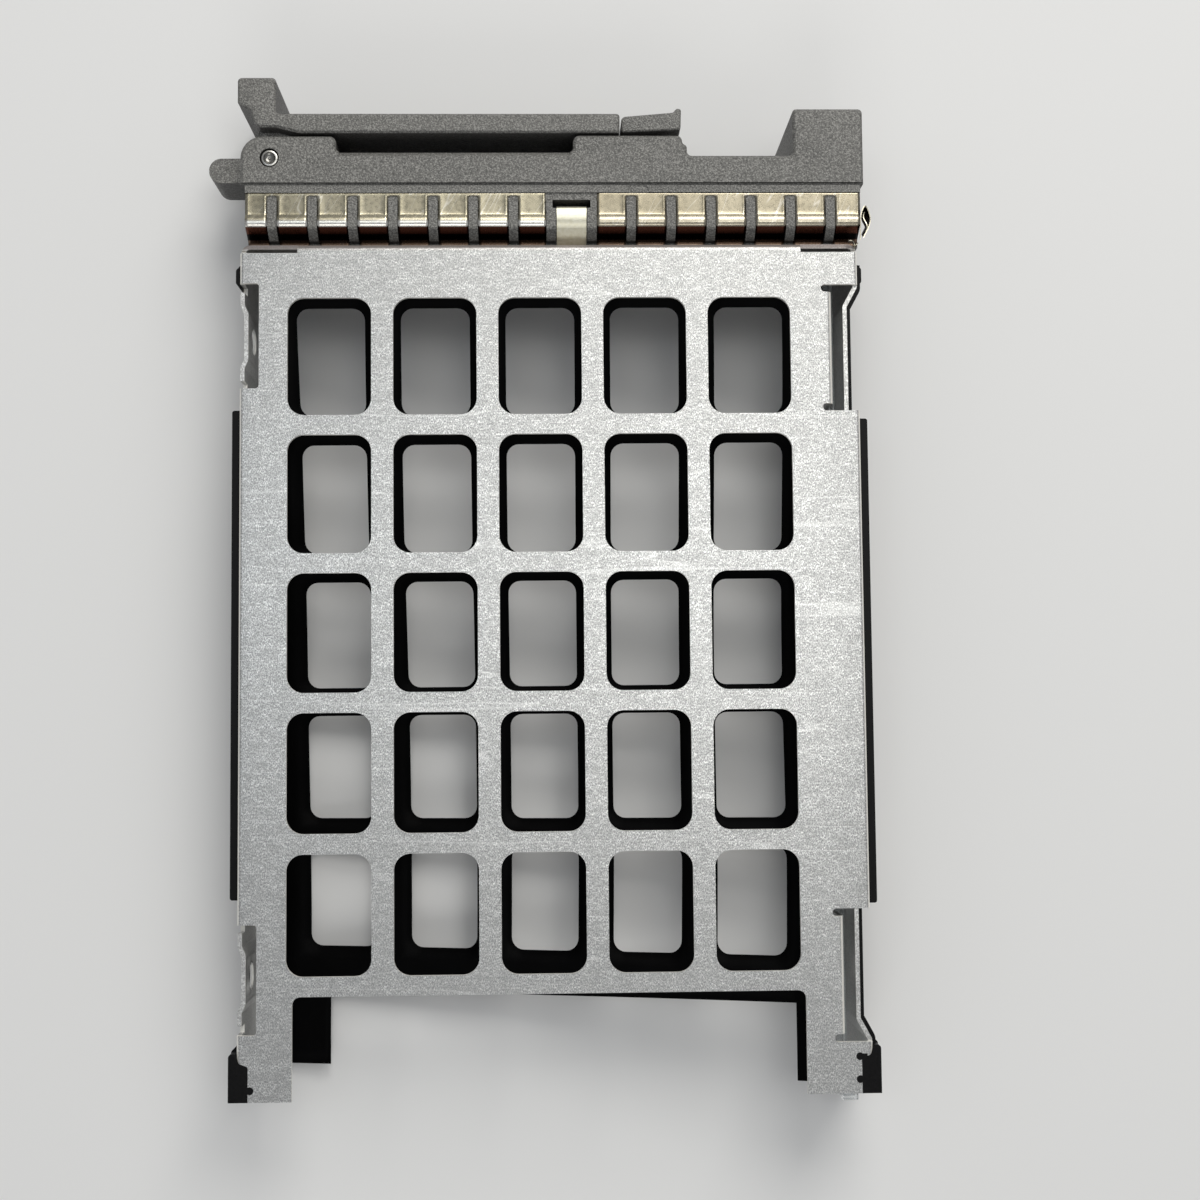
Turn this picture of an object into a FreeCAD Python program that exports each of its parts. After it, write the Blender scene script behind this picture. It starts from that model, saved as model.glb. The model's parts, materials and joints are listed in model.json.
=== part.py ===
"""Hot swap drive caddy for a 2.5 inch drive: folded sheet tray, die-cast bezel with an ejector
lever and a release button, spring finger gaskets, side rails, insulating film and light pipes.

The bezel faces -Y and the windowed plate is on top (+Z). Left is -X, right is +X.
The origin lies on the bezel's underside, on the centre line of the tray and on the
shoulder where the bezel seats against the chassis. Millimetres throughout.
"""
import FreeCAD, Part
import math
import os
from FreeCAD import Vector

os.makedirs("parts", exist_ok=True)

# ---- Drive that the tray carries -----------------------------------------------------------
drive_width = 69.85
screw_spacing = 76.6          # between the two side screws of a drive
screw_height = 3.0            # side screw above the drive's underside
screw_to_end = 14.1           # rear side screw to the tray's rear end
screw_hole_r = 1.6
drive_shift = 1.3             # the drive sits this far to the right of the tray's centre
drive_play = 0.07             # each side of the drive
wall_room = 4.95              # the tray is wider than the drive by this, walls included

# ---- Folded tray ---------------------------------------------------------------------------
tray_height = 16.4
sheet = 0.5
bend_r = 0.9                  # outer radius of the folds
film_room = 0.35              # between the plate and the drive
tray_front = 7.2              # front face of the tray's front flange
front_screw_y = 18.4
plate_setback = 1.1           # plate edge behind the tray's front face at the two corners
lip_gap = 0.45                # left between a wall's front top edge and the plate
corner_flange_w = 6.9         # width of the two corner flanges folded in from the walls
front_flange_h = 14.6
flange_tie_w = 0.6            # the front flange's lap on each corner flange
flange_tie_h = 4.0
left_leg_w = 7.8
right_leg_w = 6.45
leg_corner_r = 1.0

# ---- Windows in the plate ------------------------------------------------------------------
columns = 5
rows = 5
column_pitch = 12.68
row_pitch = 16.66
window_w = 10.05
window_l = 14.27
window_r = 2.0
window_start = 13.8           # front edge of the first row
rear_bridge = 2.3             # plate left behind the last row
vent_w = 8.6                  # openings of the front flange, one under each column
vent_h = 7.0
vent_r = 1.0

# ---- Screw pads and notches in the two walls -----------------------------------------------
right_notch_depth = 2.3
right_notch_half = 6.4
notch_r = 0.4
right_jog = 0.45
pad_half = 2.8
jog_run = 1.0
jog_r = 0.6
dimple_r = 2.7
dimple_lip = 0.5              # rim of the dimple round its screw hole
tab_gap = 1.0                 # relief at each end of a pad's tab
tab_gap_depth = 1.8
left_jog = 1.3
left_jog_run = 2.4
left_jog_out = 0.2            # clear of a notch's end where the wall is at its full width
left_hidden_jog = (0.3, 1.5)  # beyond a notch's end, where the jog lies under the plate
left_notch_front = (-6.1, 9.4)     # from the front screw, towards the front and the rear
left_notch_rear = (-7.5, 8.1)      # from the rear screw
channel_flange_h = 6.6
channel_fold_r = 0.5
channel_fold_lap = 1.2
relief_r = 0.45
relief_reach = 0.8
wall_top_gap = 0.6                 # wall top below the plate's top inside a notch

# ---- Side rails ----------------------------------------------------------------------------
rail_t = 1.05
rail_bottom = 2.0
rail_top_gap = 1.2
rail_corner_r = 0.3
rail_web_t = 0.55
rail_web_top_gap = (1.4, 7.4)      # web below the plate's top: left rail, right rail
rail_start = (10.2, 8.9)           # behind the front screw: left rail, right rail
rail_stop = (8.0, 9.2)             # ahead of the rear screw: left rail, right rail
nub_y = (9.6, 12.6)
nub_t = 0.75
nub_slope = (0.4, 1.0)             # run of the nub's front and rear slopes
nub_drop = 0.4
corner_len = 5.6
corner_reach = 2.3                 # corner block, from its outer face in over the plate
corner_depth = 2.0
corner_set_in = 0.1                # corner block's outer face inside the rail's
corner_r = 0.5
corner_ramp = 0.9
corner_step = (0.3, 1.1, 1.5)      # reach over the plate, its start and its full width's start
key_r = 0.45
left_keys = (1.65, 4.3)            # round keys of the left block, ahead of the tray's rear end
right_keys = (1.35,)
peg_r = 1.2
peg_head_r = 1.55
peg_head_t = 0.4
peg_inset = (7.0, 5.5)             # pegs from the rail's front end and its rear end
peg_z = 7.0
fit = 0.05                         # clearance of pins and pegs in their holes

# ---- Insulating film -----------------------------------------------------------------------
film_t = 0.25
film_inset = 0.65                  # film edge inside each window's edge
film_window_r = 1.5
film_row_pitch = 16.4              # rows of the hanging film, a little closer than the plate's
film_row_lead = 0.4                # first row of the film behind the plate's
film_front = 8.9
film_side_gap = (0.45, 1.7)        # film short of the drive's left and right side
film_leg_end = 107.7
film_rear_reach = 1.5              # past the plate's rear edge
film_leg_step = 3.2                # right leg of the film wider than the plate's leg
film_leg_r = 0.6
film_lift = 0.5                    # film's upper face below the plate at its taped front
film_sag_left = (14.0, 76.0, 8.6)  # sag of the left edge: where it starts, where it ends, how deep
film_sag_right = (10.0, 75.0, 9.3)
film_points = 16
tape_len = 3.6
tape_inset = 1.0
tape_setback = 0.3
tape_gap = 0.03                    # above the film

# ---- Bezel casting -------------------------------------------------------------------------
bezel_above = 0.8                  # bezel's top above the plate
bezel_lap_left = 0.85              # bezel's left end outside the tray's wall
bezel_inset_right = 0.1
seat_lap_left = 0.45
seat_inset_right = 0.65
lobe_front = -5.9
lobe_w = 11.5
lobe_r = 2.6
recess_front = -4.0
recess_band = 0.65                 # bevel along the recess's upper edge
latch_w = 13.85
latch_front = -6.0
latch_step = (0.7, 0.5, 1.0, 1.25) # small steps of the latch lobe's left end
floor_front = -3.5
floor_w = 12.95                    # finger room between the block and the latch lobe
block_w = 8.55
block_front = -9.3
corner_round = 0.5
lobe_round = 0.8
edge_chamfer = 0.35
groove_w = 0.28
groove_d = 0.4
land_drop = 0.25                   # land ahead of the top gasket, below the bezel's top
land_w = 1.05
seat_drop = 0.45                   # gasket seat, below the bezel's faces
seat_flat = 3.7
seat_slope = 6.0
seat_low = 3.0
seat_r = (1.2, 0.6)
rib_w = 1.1                        # ribs that stand up between the gasket's fingers
rib_y = (1.9, 5.4, 6.6)            # front end, end of the flat top, rear end
rib_fall = 1.7
cavity_front = -2.4
cavity_half_h = 4.7
cavity_inset = (1.3, 6.6)          # from the block's right side, from the pin
latch_core = 3.2                   # metal kept behind the latch lobe
slot_w = 2.0
slot_z = (3.6, 9.2)
slot_pitch = 3.4
slot_margin = 2.4
mark_r = 1.3
mark_x = -10.8
mark_d = 0.12

# ---- Lever and its pin ---------------------------------------------------------------------
pin_inset = 3.5                    # pin from the bezel's right end
pin_y = -3.2
pin_r = 1.15
pin_cup = (0.85, 0.4, 0.3)         # cup in each end: rim radius, floor radius, depth
pin_inside = 0.15                  # pin's ends below the bezel's faces
press = 0.01                       # clearance of a pin where the casting holds it
lug_t = 2.2
lever_gap = 0.3                    # hub to lugs
hub_r = 2.35
hub_room = 0.9
fork_room = 2.2
lever_inset = (0.5, 0.3)           # lever inside the bezel's underside and top
bar_front = -8.8
bar_rear = -6.4
bar_tip_lap = 8.15                 # bar's tip past the latch lobe's left end
bar_chamfer = 0.25
grip_front = -13.25
grip_lap = 0.4                     # grip outside the bezel's right end
grip_w = 4.6
grip_foot = ((0.0, 3.2, 0.4), (1.6, 4.1, 0.4))     # inward, back, radius of the grip's outer corners
elbow = ((2.0, 1.1, 0.5), (2.6, 0.7, 0.5))         # the same for the elbow, ahead of the bar's rear
elbow_sweep = 2.8
elbow_r = 2.0
hook_reach = 4.7                   # hook's tip outside the bezel's right end
hook_half_h = 3.5
hook_half = 1.55
hook_clear = 0.35
hook_room = 0.8
hook_sweep = (-25, 112)            # start and size of the angle that the hook's slot covers
slot_edge = 2.5                    # the hook's slot starts this far inside the pin
neck_foot = (0.6, 0.8, 1.6, 1.2, 1.9)
neck_extra = 0.4
lever_spring_wire = 0.4
lever_spring_gap = 0.12
lever_spring_len = 1.25
coil_runs = 12                     # straight runs to a turn of either spring
wire_sides = 6
tongue_w = 2.0
tongue_rear = -3.4
tongue_half_h = 2.0
tongue_inset = 0.3
catch = (0.8, 1.9, 1.0)            # catch cut in the tongue: depth, front and rear edge

# ---- Release button and its pin ------------------------------------------------------------
button_gap = 0.2                   # between the button and the lever's tip
button_inset = 0.7                 # button's left end inside the latch lobe's
button_margin = (0.6, 0.6)         # button inside the bezel's underside and top
button_chamfer = 0.2
button_pin_step = 2.0              # button's pin from the lever's tip
button_pin_y = -3.3
button_pin_r = 0.8
button_hub_r = 1.6
button_hub_half = 3.6
button_arm_half = 1.2
nose = (1.75, 1.15, 0.6)           # catch nose: front edge, rear edge, root, ahead of the tongue
nose_gap = 0.25
nose_inset = 0.4
pocket_gap = 0.3
pocket_side = 0.6
spring_step = 1.75                 # spring from the button's left end
spring_r = 1.0
spring_wire = 0.3
spring_rear = -2.9
spring_pitch = 0.75
spring_room = 0.2

# ---- Spring finger gaskets and ground clip -------------------------------------------------
finger_pitch = 4.85
finger_gap = 1.2
finger_root = 0.32                 # uncut strip ahead of the gaps
foil = 0.15
foil_seat = 0.01
gasket_end_gap = (0.1, 0.05)       # from the seat's left and right end
gasket_inner = (-5.75, 0.45)       # inner ends of the left and the right strip
first_gap = (4.15, 3.2)            # first gap from the left strip's inner end, the right strip's outer end
gasket_front = 0.03                # strip behind the land
gasket_bends = ((3.75, 0.35), (4.25, 0.09), (5.05, 0.13), (5.45, 0.75), (6.4, 2.6))     # y, depth of the line
gasket_tail = 7.1
gasket_tail_drop = 2.8
clip_w = 3.6
clip_slot_w = 4.6
clip_slot_y = (1.9, 2.95)
clip_root = ((0.35, 2.4), (0.2, 0.3))              # ahead of the slot's rear edge, below the top
clip_bends = ((4.6, 0.1, 2.0), (6.4, 2.1, 1.4))    # y, depth, radius
clip_bed = (0.1, 1.4)                              # room beside the clip and below the bezel's top

# ---- Light pipes ---------------------------------------------------------------------------
pipe_w = 1.1
pipe_h = 1.6
pipe_inset = 2.45                  # pipe from the tray's left side
pipe_z = (8.2, 5.2)                # centre height of the upper and the lower pipe
pipe_head_inset = 1.5
pipe_head_w = 1.8
pipe_head_len = 4.2
pipe_head_neck = 1.5
pipe_rear_reach = 2.3              # past the tray's rear end
lens_w = 2.0
lens_h = 1.8
lens_len = 4.0
lens_gap = 0.03
pipe_room = 0.15

# ---- Screws that hold the bezel ------------------------------------------------------------
bezel_screw_r = 1.0
bezel_screw_head_r = 2.0
bezel_screw_head_h = 0.8
bezel_screw_len = 6.0
cross_half = 0.9
cross_w = 0.4
cross_floor = 0.35
boss_r = 2.3

# ---- Values worked out from the sizes above ------------------------------------------------
beyond = 1.0                       # how far a cut runs past the face it opens
tray_width = drive_width + wall_room
half = tray_width / 2
rear_screw_y = front_screw_y + screw_spacing
tray_rear = rear_screw_y + screw_to_end
screw_z = tray_height - sheet - film_room - screw_height
plate_front = tray_front + plate_setback
plate_rear = window_start + (rows - 1) * row_pitch + window_l + rear_bridge
drive_right = drive_shift + drive_width / 2 + drive_play
drive_left = drive_shift - drive_width / 2 - drive_play
column_x = [drive_shift + (i - (columns - 1) / 2) * column_pitch for i in range(columns)]
row_y = [window_start + window_l / 2 + i * row_pitch for i in range(rows)]
film_row_y = [row_y[0] + film_row_lead + i * film_row_pitch for i in range(rows)]
bend_start = tray_height - bend_r
wall_top = tray_height - wall_top_gap
bezel_screw_x = [column_x[0] + column_pitch / 2, column_x[-1] - column_pitch / 2]
bezel_h = tray_height + bezel_above
bezel_mid = bezel_h / 2
bezel_left = -half - bezel_lap_left
bezel_right = half - bezel_inset_right
seat = (-half - seat_lap_left, half - seat_inset_right)
block_right = bezel_left + block_w
latch_left = block_right + floor_w
latch_right = latch_left + latch_w
lobe_inner = bezel_right - lobe_w
pin_x = bezel_right - pin_inset
hub_z = (lug_t + lever_gap, bezel_h - lug_t - lever_gap)
lever_z = (lever_inset[0], bezel_h - lever_inset[1])
hook_z = (bezel_mid - hook_half_h, bezel_mid + hook_half_h)
hook_tip = bezel_right + hook_reach
grip_right = bezel_right + grip_lap
grip_left = grip_right - grip_w
bar_tip = latch_left + bar_tip_lap
tongue_left = bar_tip + tongue_inset
tongue_z = (bezel_mid - tongue_half_h, bezel_mid + tongue_half_h)
button_left = latch_left + button_inset
button_right = bar_tip - button_gap
button_z = (button_margin[0], bezel_h - button_margin[1])
button_pin_x = bar_tip - button_pin_step
button_hub_z = (bezel_mid - button_hub_half, bezel_mid + button_hub_half)
spring_x = button_left + spring_step
cavity_z = (bezel_mid - cavity_half_h, bezel_mid + cavity_half_h)
cavity_x = (block_right + cavity_inset[0], pin_x - cavity_inset[1])
gasket_left_x = (seat[0] + gasket_end_gap[0], gasket_inner[0])
gasket_right_x = (gasket_inner[1], seat[1] - gasket_end_gap[1])
gap_left_x = [gasket_inner[0] - first_gap[0] - i * finger_pitch
              for i in range(int((gasket_left_x[1] - gasket_left_x[0] - first_gap[0] - finger_gap) / finger_pitch) + 1)]
gap_right_x = [gasket_right_x[1] - first_gap[1] - i * finger_pitch
               for i in range(int((gasket_right_x[1] - gasket_right_x[0] - first_gap[1] - finger_gap) / finger_pitch) + 1)]
clip_middle = sum(gasket_inner) / 2
pipe_x = -half + pipe_inset
pipe_head_x = -half + pipe_head_inset
pipe_rear = tray_rear + pipe_rear_reach


# ---- Drawing helpers -----------------------------------------------------------------------
def box(x, y, z):
    """Block between two values on each axis."""
    return Part.makeBox(x[1] - x[0], y[1] - y[0], z[1] - z[0], Vector(x[0], y[0], z[0]))


def rounded_face(points, place):
    """Closed outline through (u, v) or (u, v, radius) corners; place puts (u, v) in space."""
    count = len(points)
    corners = []
    for i, point in enumerate(points):
        here = Vector(point[0], point[1], 0)
        before = Vector(points[i - 1][0], points[i - 1][1], 0) - here
        after = Vector(points[(i + 1) % count][0], points[(i + 1) % count][1], 0) - here
        radius = point[2] if len(point) > 2 else 0
        turn = before.getAngle(after)
        if radius <= 0 or turn < 0.02 or math.pi - turn < 0.002:
            corners.append((here, None, here))
            continue
        reach = min(radius / math.tan(turn / 2), 0.49 * min(before.Length, after.Length))
        radius = reach * math.tan(turn / 2)
        start = here + before.normalize() * reach
        end = here + after.normalize() * reach
        inward = (before + after).normalize()
        middle = here + inward * (radius / math.sin(turn / 2) - radius)
        corners.append((start, middle, end))
    edges = []
    for i, (start, middle, end) in enumerate(corners):
        if middle is not None:
            edges.append(Part.Arc(place(start), place(middle), place(end)).toShape())
        following = corners[(i + 1) % count][0]
        if (following - end).Length > 1e-6:
            edges.append(Part.LineSegment(place(end), place(following)).toShape())
    return Part.Face(Part.Wire(edges))


def plan(points, z):
    """Outline in plan, extruded from z[0] up to z[1]."""
    face = rounded_face(points, lambda p: Vector(p.x, p.y, z[0]))
    return face.extrude(Vector(0, 0, z[1] - z[0]))


def along_y(points, y):
    """Outline in X and Z, extruded from y[0] back to y[1]."""
    face = rounded_face(points, lambda p: Vector(p.x, y[0], p.y))
    return face.extrude(Vector(0, y[1] - y[0], 0))


def along_x(points, x):
    """Outline in Y and Z, extruded from x[0] to x[1]."""
    face = rounded_face(points, lambda p: Vector(x[0], p.x, p.y))
    return face.extrude(Vector(x[1] - x[0], 0, 0))


def ribbon(points, low, high):
    """Closed outline of a folded strip: the line, offset to its left by low and by high."""
    sides = ([], [])
    last = len(points) - 1
    for i, point in enumerate(points):
        here = Vector(point[0], point[1], 0)
        steps = []
        if i > 0:
            steps.append((here - Vector(points[i - 1][0], points[i - 1][1], 0)).normalize())
        if i < last:
            steps.append((Vector(points[i + 1][0], points[i + 1][1], 0) - here).normalize())
        normals = [Vector(-step.y, step.x, 0) for step in steps]
        mitre = normals[0]
        turn = 0
        if len(steps) == 2:
            mitre = (normals[0] + normals[1]) * (1 / (1 + normals[0].dot(normals[1])))
            turn = steps[0].x * steps[1].y - steps[0].y * steps[1].x
        radius = point[2] if len(point) > 2 else 0
        for side, offset in zip(sides, (low, high)):
            moved = here + mitre * offset
            own = radius - offset if turn > 0 else radius + offset
            side.append((moved.x, moved.y, max(own, 0) if radius else 0))
    return sides[0] + sides[1][::-1]


def rod(start, axis, radius, length):
    """Cylinder from start along axis."""
    return Part.makeCylinder(radius, length, Vector(*start), Vector(*axis))


def cone(start, axis, near_r, far_r, length):
    """Truncated cone from start along axis."""
    return Part.makeCone(near_r, far_r, length, Vector(*start), Vector(*axis))


def joined(shapes):
    """One clean solid from overlapping shapes."""
    return shapes[0].multiFuse(shapes[1:]).removeSplitter() if len(shapes) > 1 else shapes[0]


def less(shape, tools):
    """The shape with every tool cut away."""
    return shape.cut(Part.makeCompound(tools)) if tools else shape


def mirrored(shape):
    """The same shape on the other side of the centre plane."""
    return shape.mirror(Vector(0, 0, 0), Vector(1, 0, 0))


def coil(start, axis, radius, wire, pitch, length):
    """Wire wound on a helix, in straight runs that meet in mitred corners, coil_runs to a turn."""
    count = round(coil_runs * length / pitch)
    path = []
    for index in range(count + 1):
        angle = 2 * math.pi * index / coil_runs
        path.append(Vector(radius * math.cos(angle), radius * math.sin(angle), pitch * index / coil_runs))
    along = path[1] - path[0]
    across = Part.makeCircle(wire / 2, path[0], along)
    rim = [across.valueAt(2 * math.pi * index / wire_sides) for index in range(wire_sides)]
    sweep = Part.BRepOffsetAPI.MakePipeShell(Part.makePolygon(path))
    sweep.setTransitionMode(1)
    sweep.add(Part.makePolygon(rim + rim[:1]))
    sweep.build()
    sweep.makeSolid()
    spring = sweep.shape()
    spring.Placement = FreeCAD.Placement(Vector(*start), FreeCAD.Rotation(Vector(0, 0, 1), Vector(*axis)))
    return spring


# ---- Folded tray ---------------------------------------------------------------------------
def right_wall_line():
    """Centre line of the right wall in plan, with the two pads jogged inwards."""
    outside = half - sheet / 2
    inside = outside - right_jog
    line = [(half - corner_flange_w, tray_front + sheet / 2), (outside, tray_front + sheet / 2, bend_r)]
    for y in (front_screw_y, rear_screw_y):
        line += [(outside, y - pad_half - jog_run, jog_r), (inside, y - pad_half, jog_r)]
        line += [(inside, y + pad_half, jog_r), (outside, y + pad_half + jog_run, jog_r)]
    return line + [(outside, tray_rear)]


def left_wall_line():
    """The same for the left wall, drawn on the right: one jog shows in each notch, one is hidden."""
    outside = half - sheet / 2
    inside = outside - left_jog
    start, end = left_notches()[0]
    line = [(half - corner_flange_w, tray_front + sheet / 2), (outside, tray_front + sheet / 2, bend_r),
            (outside, start + left_jog_out, jog_r), (inside, start + left_jog_out + left_jog_run, jog_r),
            (inside, end + left_hidden_jog[0], jog_r), (outside, end + left_hidden_jog[1], jog_r)]
    start, end = left_notches()[1]
    line += [(outside, start - left_hidden_jog[1], jog_r), (inside, start - left_hidden_jog[0], jog_r),
             (inside, end - left_jog_out - left_jog_run, jog_r), (outside, end - left_jog_out, jog_r)]
    return line + [(outside, tray_rear)]


def right_notches():
    """Y ranges of the notches over the right pads."""
    return [(y - right_notch_half, y + right_notch_half) for y in (front_screw_y, rear_screw_y)]


def left_notches():
    """Y ranges of the notches over the left channel."""
    return [(front_screw_y + left_notch_front[0], front_screw_y + left_notch_front[1]),
            (rear_screw_y + left_notch_rear[0], rear_screw_y + left_notch_rear[1])]


def side_wall(line, notches, gap):
    """Wall up to the fold; in a notch its bare edge stands higher, between two relief gaps."""
    outline = ribbon(line, -sheet / 2, sheet / 2)
    wall = plan(outline, (0, bend_start))
    crest = plan(outline, (bend_start, wall_top))
    everywhere = (0, half + beyond)
    tabs = [crest.common(box(everywhere, (notch[0] + gap, notch[1] - gap), (0, tray_height))) for notch in notches]
    tabs.append(crest.common(box(everywhere, (tray_front - beyond, plate_front - lip_gap), (0, tray_height))))
    if gap:
        reliefs = [box(everywhere, y, (bend_start - tab_gap_depth, tray_height)) for notch in notches
                   for y in ((notch[0], notch[0] + gap), (notch[1] - gap, notch[1]))]
        wall = less(wall, reliefs)
    return [wall] + tabs


def corner_block_outline(keys):
    """Plan of a rail's corner block where it fills the plate's corner, drawn on the right."""
    outer = half + rail_t - corner_set_in
    inner = outer - corner_reach
    front = tray_rear - corner_len
    outline = [(outer, tray_rear), (outer, front, corner_r), (half + corner_set_in, front),
               (half - corner_step[0], front + corner_step[1], corner_step[0]),
               (inner, front + corner_step[2], corner_step[0]), (inner, tray_rear)]
    return outline, [(inner - key_r / 2, tray_rear - key) for key in keys]


def corner_fill(keys, z):
    """Solid of the corner block's part that lies in the plate's corner."""
    outline, centres = corner_block_outline(keys)
    neck = key_r * 0.7
    shapes = [plan(outline, z)]
    shapes += [rod((x, y, z[0]), (0, 0, 1), key_r, z[1] - z[0]) for x, y in centres]
    shapes += [box((x, x + 2 * key_r), (y - neck, y + neck), z) for x, y in centres]
    return joined(shapes)


def window(x, y, width, length, radius, z):
    """Rounded upright prism round a point of the plate."""
    return plan([(x + a * width / 2, y + b * length / 2, radius)
                 for a, b in ((-1, -1), (1, -1), (1, 1), (-1, 1))], z)


def plate_cuts():
    """Everything punched out of the plate: windows, notches, relief slots and the rear gap."""
    through = (bend_start, tray_height + beyond)
    cuts = [window(x, y, window_w, window_l, window_r, through) for x in column_x for y in row_y]
    outer = half + beyond
    inner = half - right_notch_depth
    cuts += [plan([(outer, notch[0]), (inner, notch[0], notch_r), (inner, notch[1], notch_r), (outer, notch[1])],
                  through) for notch in right_notches()]
    for notch in left_notches():
        cuts.append(box((-outer, drive_left), notch, through))
        for y in (notch[0] + relief_r, notch[1] - relief_r):
            cuts.append(plan([(drive_left - beyond, y - relief_r), (drive_left + relief_reach, y - relief_r, relief_r),
                              (drive_left + relief_reach, y + relief_r, relief_r), (drive_left - beyond, y + relief_r)],
                             through))
    gap = (-half + left_leg_w, half - right_leg_w)
    cuts.append(plan([(gap[0], tray_rear + beyond), (gap[0], plate_rear, leg_corner_r),
                      (gap[1], plate_rear, leg_corner_r), (gap[1], tray_rear + beyond)], through))
    return cuts


def tray():
    middle = tray_height - sheet / 2
    fold_r = bend_r - sheet / 2
    side = half - sheet / 2
    top = ribbon([(-side, bend_start), (-side, middle, fold_r), (side, middle, fold_r), (side, bend_start)],
                 -sheet / 2, sheet / 2)
    solids = [less(along_y(top, (plate_front, tray_rear)), plate_cuts())]
    solids += side_wall(right_wall_line(), right_notches(), tab_gap)
    solids += [mirrored(shape) for shape in side_wall(left_wall_line(), left_notches(), 0)]
    lip = ribbon([(plate_front + sheet, middle), (tray_front + sheet / 2, middle, fold_r),
                  (tray_front + sheet / 2, tray_height - front_flange_h)], -sheet / 2, sheet / 2)
    inner = half - corner_flange_w
    solids.append(along_x(lip, (-inner, inner)))
    flange_low = tray_height - front_flange_h
    solids.append(box((-inner - flange_tie_w, inner + flange_tie_w), (tray_front, tray_front + sheet),
                      (flange_low, flange_low + flange_tie_h)))

    flange_x = drive_left - sheet / 2
    flange = ribbon([(flange_x + channel_fold_lap, middle), (flange_x, middle, channel_fold_r),
                     (flange_x, tray_height - channel_flange_h)], -sheet / 2, sheet / 2)
    solids += [along_y(flange, (notch[0] + 2 * relief_r, notch[1] - 2 * relief_r)) for notch in left_notches()]
    pad_face = half - right_jog - sheet
    dimple_h = pad_face - drive_right
    solids += [cone((pad_face + sheet / 2, y, screw_z), (-1, 0, 0), dimple_r, screw_hole_r + dimple_lip,
                    dimple_h + sheet / 2) for y in (front_screw_y, rear_screw_y)]
    shape = joined(solids)

    holes = []
    for x in column_x:
        holes.append(along_y([(x + a * vent_w / 2, bezel_mid + b * vent_h / 2, vent_r)
                              for a, b in ((-1, -1), (1, -1), (1, 1), (-1, 1))],
                             (tray_front - beyond, tray_front + beyond)))
    for y in (front_screw_y, rear_screw_y):
        holes.append(rod((drive_right - beyond, y, screw_z), (1, 0, 0), screw_hole_r, half - drive_right + 2 * beyond))
        holes.append(cone((pad_face + sheet, y, screw_z), (-1, 0, 0), dimple_r, screw_hole_r, dimple_h + sheet / 2))
        holes.append(rod((drive_left + beyond / 2, y, screw_z), (-1, 0, 0), screw_hole_r, beyond / 2 + sheet + 0.1))
    for side, index in ((-1, 0), (1, 1)):
        for y in peg_places(index):
            holes.append(rod((side * (half + beyond), y, peg_z), (-side, 0, 0), peg_r + fit, sheet + 2 * beyond))
    holes += [pipe_passage(z, (tray_front - beyond, tray_front + beyond)) for z in pipe_z]
    for x in bezel_screw_x:
        holes.append(rod((x, tray_front - beyond, bezel_mid), (0, 1, 0), bezel_screw_r + fit, sheet + 2 * beyond))
    corner_z = (tray_height - corner_depth, tray_height + beyond)
    holes.append(corner_fill(right_keys, corner_z))
    holes.append(mirrored(corner_fill(left_keys, corner_z)))
    return less(shape, holes)


# ---- Side rails ----------------------------------------------------------------------------
def rail_range(index):
    """Y range of a rail's thick part; index 0 is the left rail."""
    return front_screw_y + rail_start[index], rear_screw_y - rail_stop[index]


def peg_places(index):
    """Y places of the pegs that snap a rail to its wall."""
    start, stop = rail_range(index)
    return start + peg_inset[0], stop - peg_inset[1]


def rail(line, index, keys):
    """Rail drawn on the right: bar, thin web along the wall, front nub, corner block and pegs."""
    start, stop = rail_range(index)
    top = tray_height - rail_top_gap
    bar = plan([(half, start), (half + rail_t, start, rail_corner_r), (half + rail_t, stop, rail_corner_r),
                (half, stop)], (rail_bottom, top))
    web = plan(ribbon(line[1:], -sheet / 2 - rail_web_t, -sheet / 2),
               (rail_bottom, tray_height - rail_web_top_gap[index]))
    web = web.common(box((0, half + rail_t), (nub_y[0], tray_rear), (0, tray_height)))
    nub = plan([(half, nub_y[0] - nub_slope[0]), (half + nub_t, nub_y[0] + nub_slope[0], rail_corner_r),
                (half + nub_t, nub_y[1] - nub_slope[1], rail_corner_r), (half, nub_y[1])],
               (rail_bottom, top - nub_drop))
    outer = half + rail_t - corner_set_in
    block = plan([(half, tray_rear), (outer, tray_rear), (outer, tray_rear - corner_len, corner_r),
                  (half, tray_rear - corner_len - corner_ramp)], (rail_bottom, tray_height - corner_depth))
    fill = corner_fill(keys, (tray_height - corner_depth, tray_height))
    pegs = []
    for y in peg_places(index):
        pegs.append(rod((half + nub_t / 2, y, peg_z), (-1, 0, 0), peg_r, nub_t / 2 + sheet + peg_head_t))
        pegs.append(rod((half - sheet, y, peg_z), (-1, 0, 0), peg_head_r, peg_head_t))
    return joined([bar, web, nub, block, fill] + pegs)


# ---- Insulating film and its tape ----------------------------------------------------------
def film_edge(x, sag):
    """Edge of the film from front to rear: it hangs in a smooth S from its tape, sag[2] deep."""
    length = tray_rear + beyond - film_front
    points = []
    for i in range(film_points + 1):
        y = film_front + length * i / film_points
        share = min(max((y - sag[0]) / (sag[1] - sag[0]), 0), 1)
        drop = film_lift + sag[2] * share * share * (3 - 2 * share)
        points.append(Vector(x, y, tray_height - sheet - drop))
    edge = Part.BSplineCurve()
    edge.interpolate(points)
    return edge.toShape()


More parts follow.
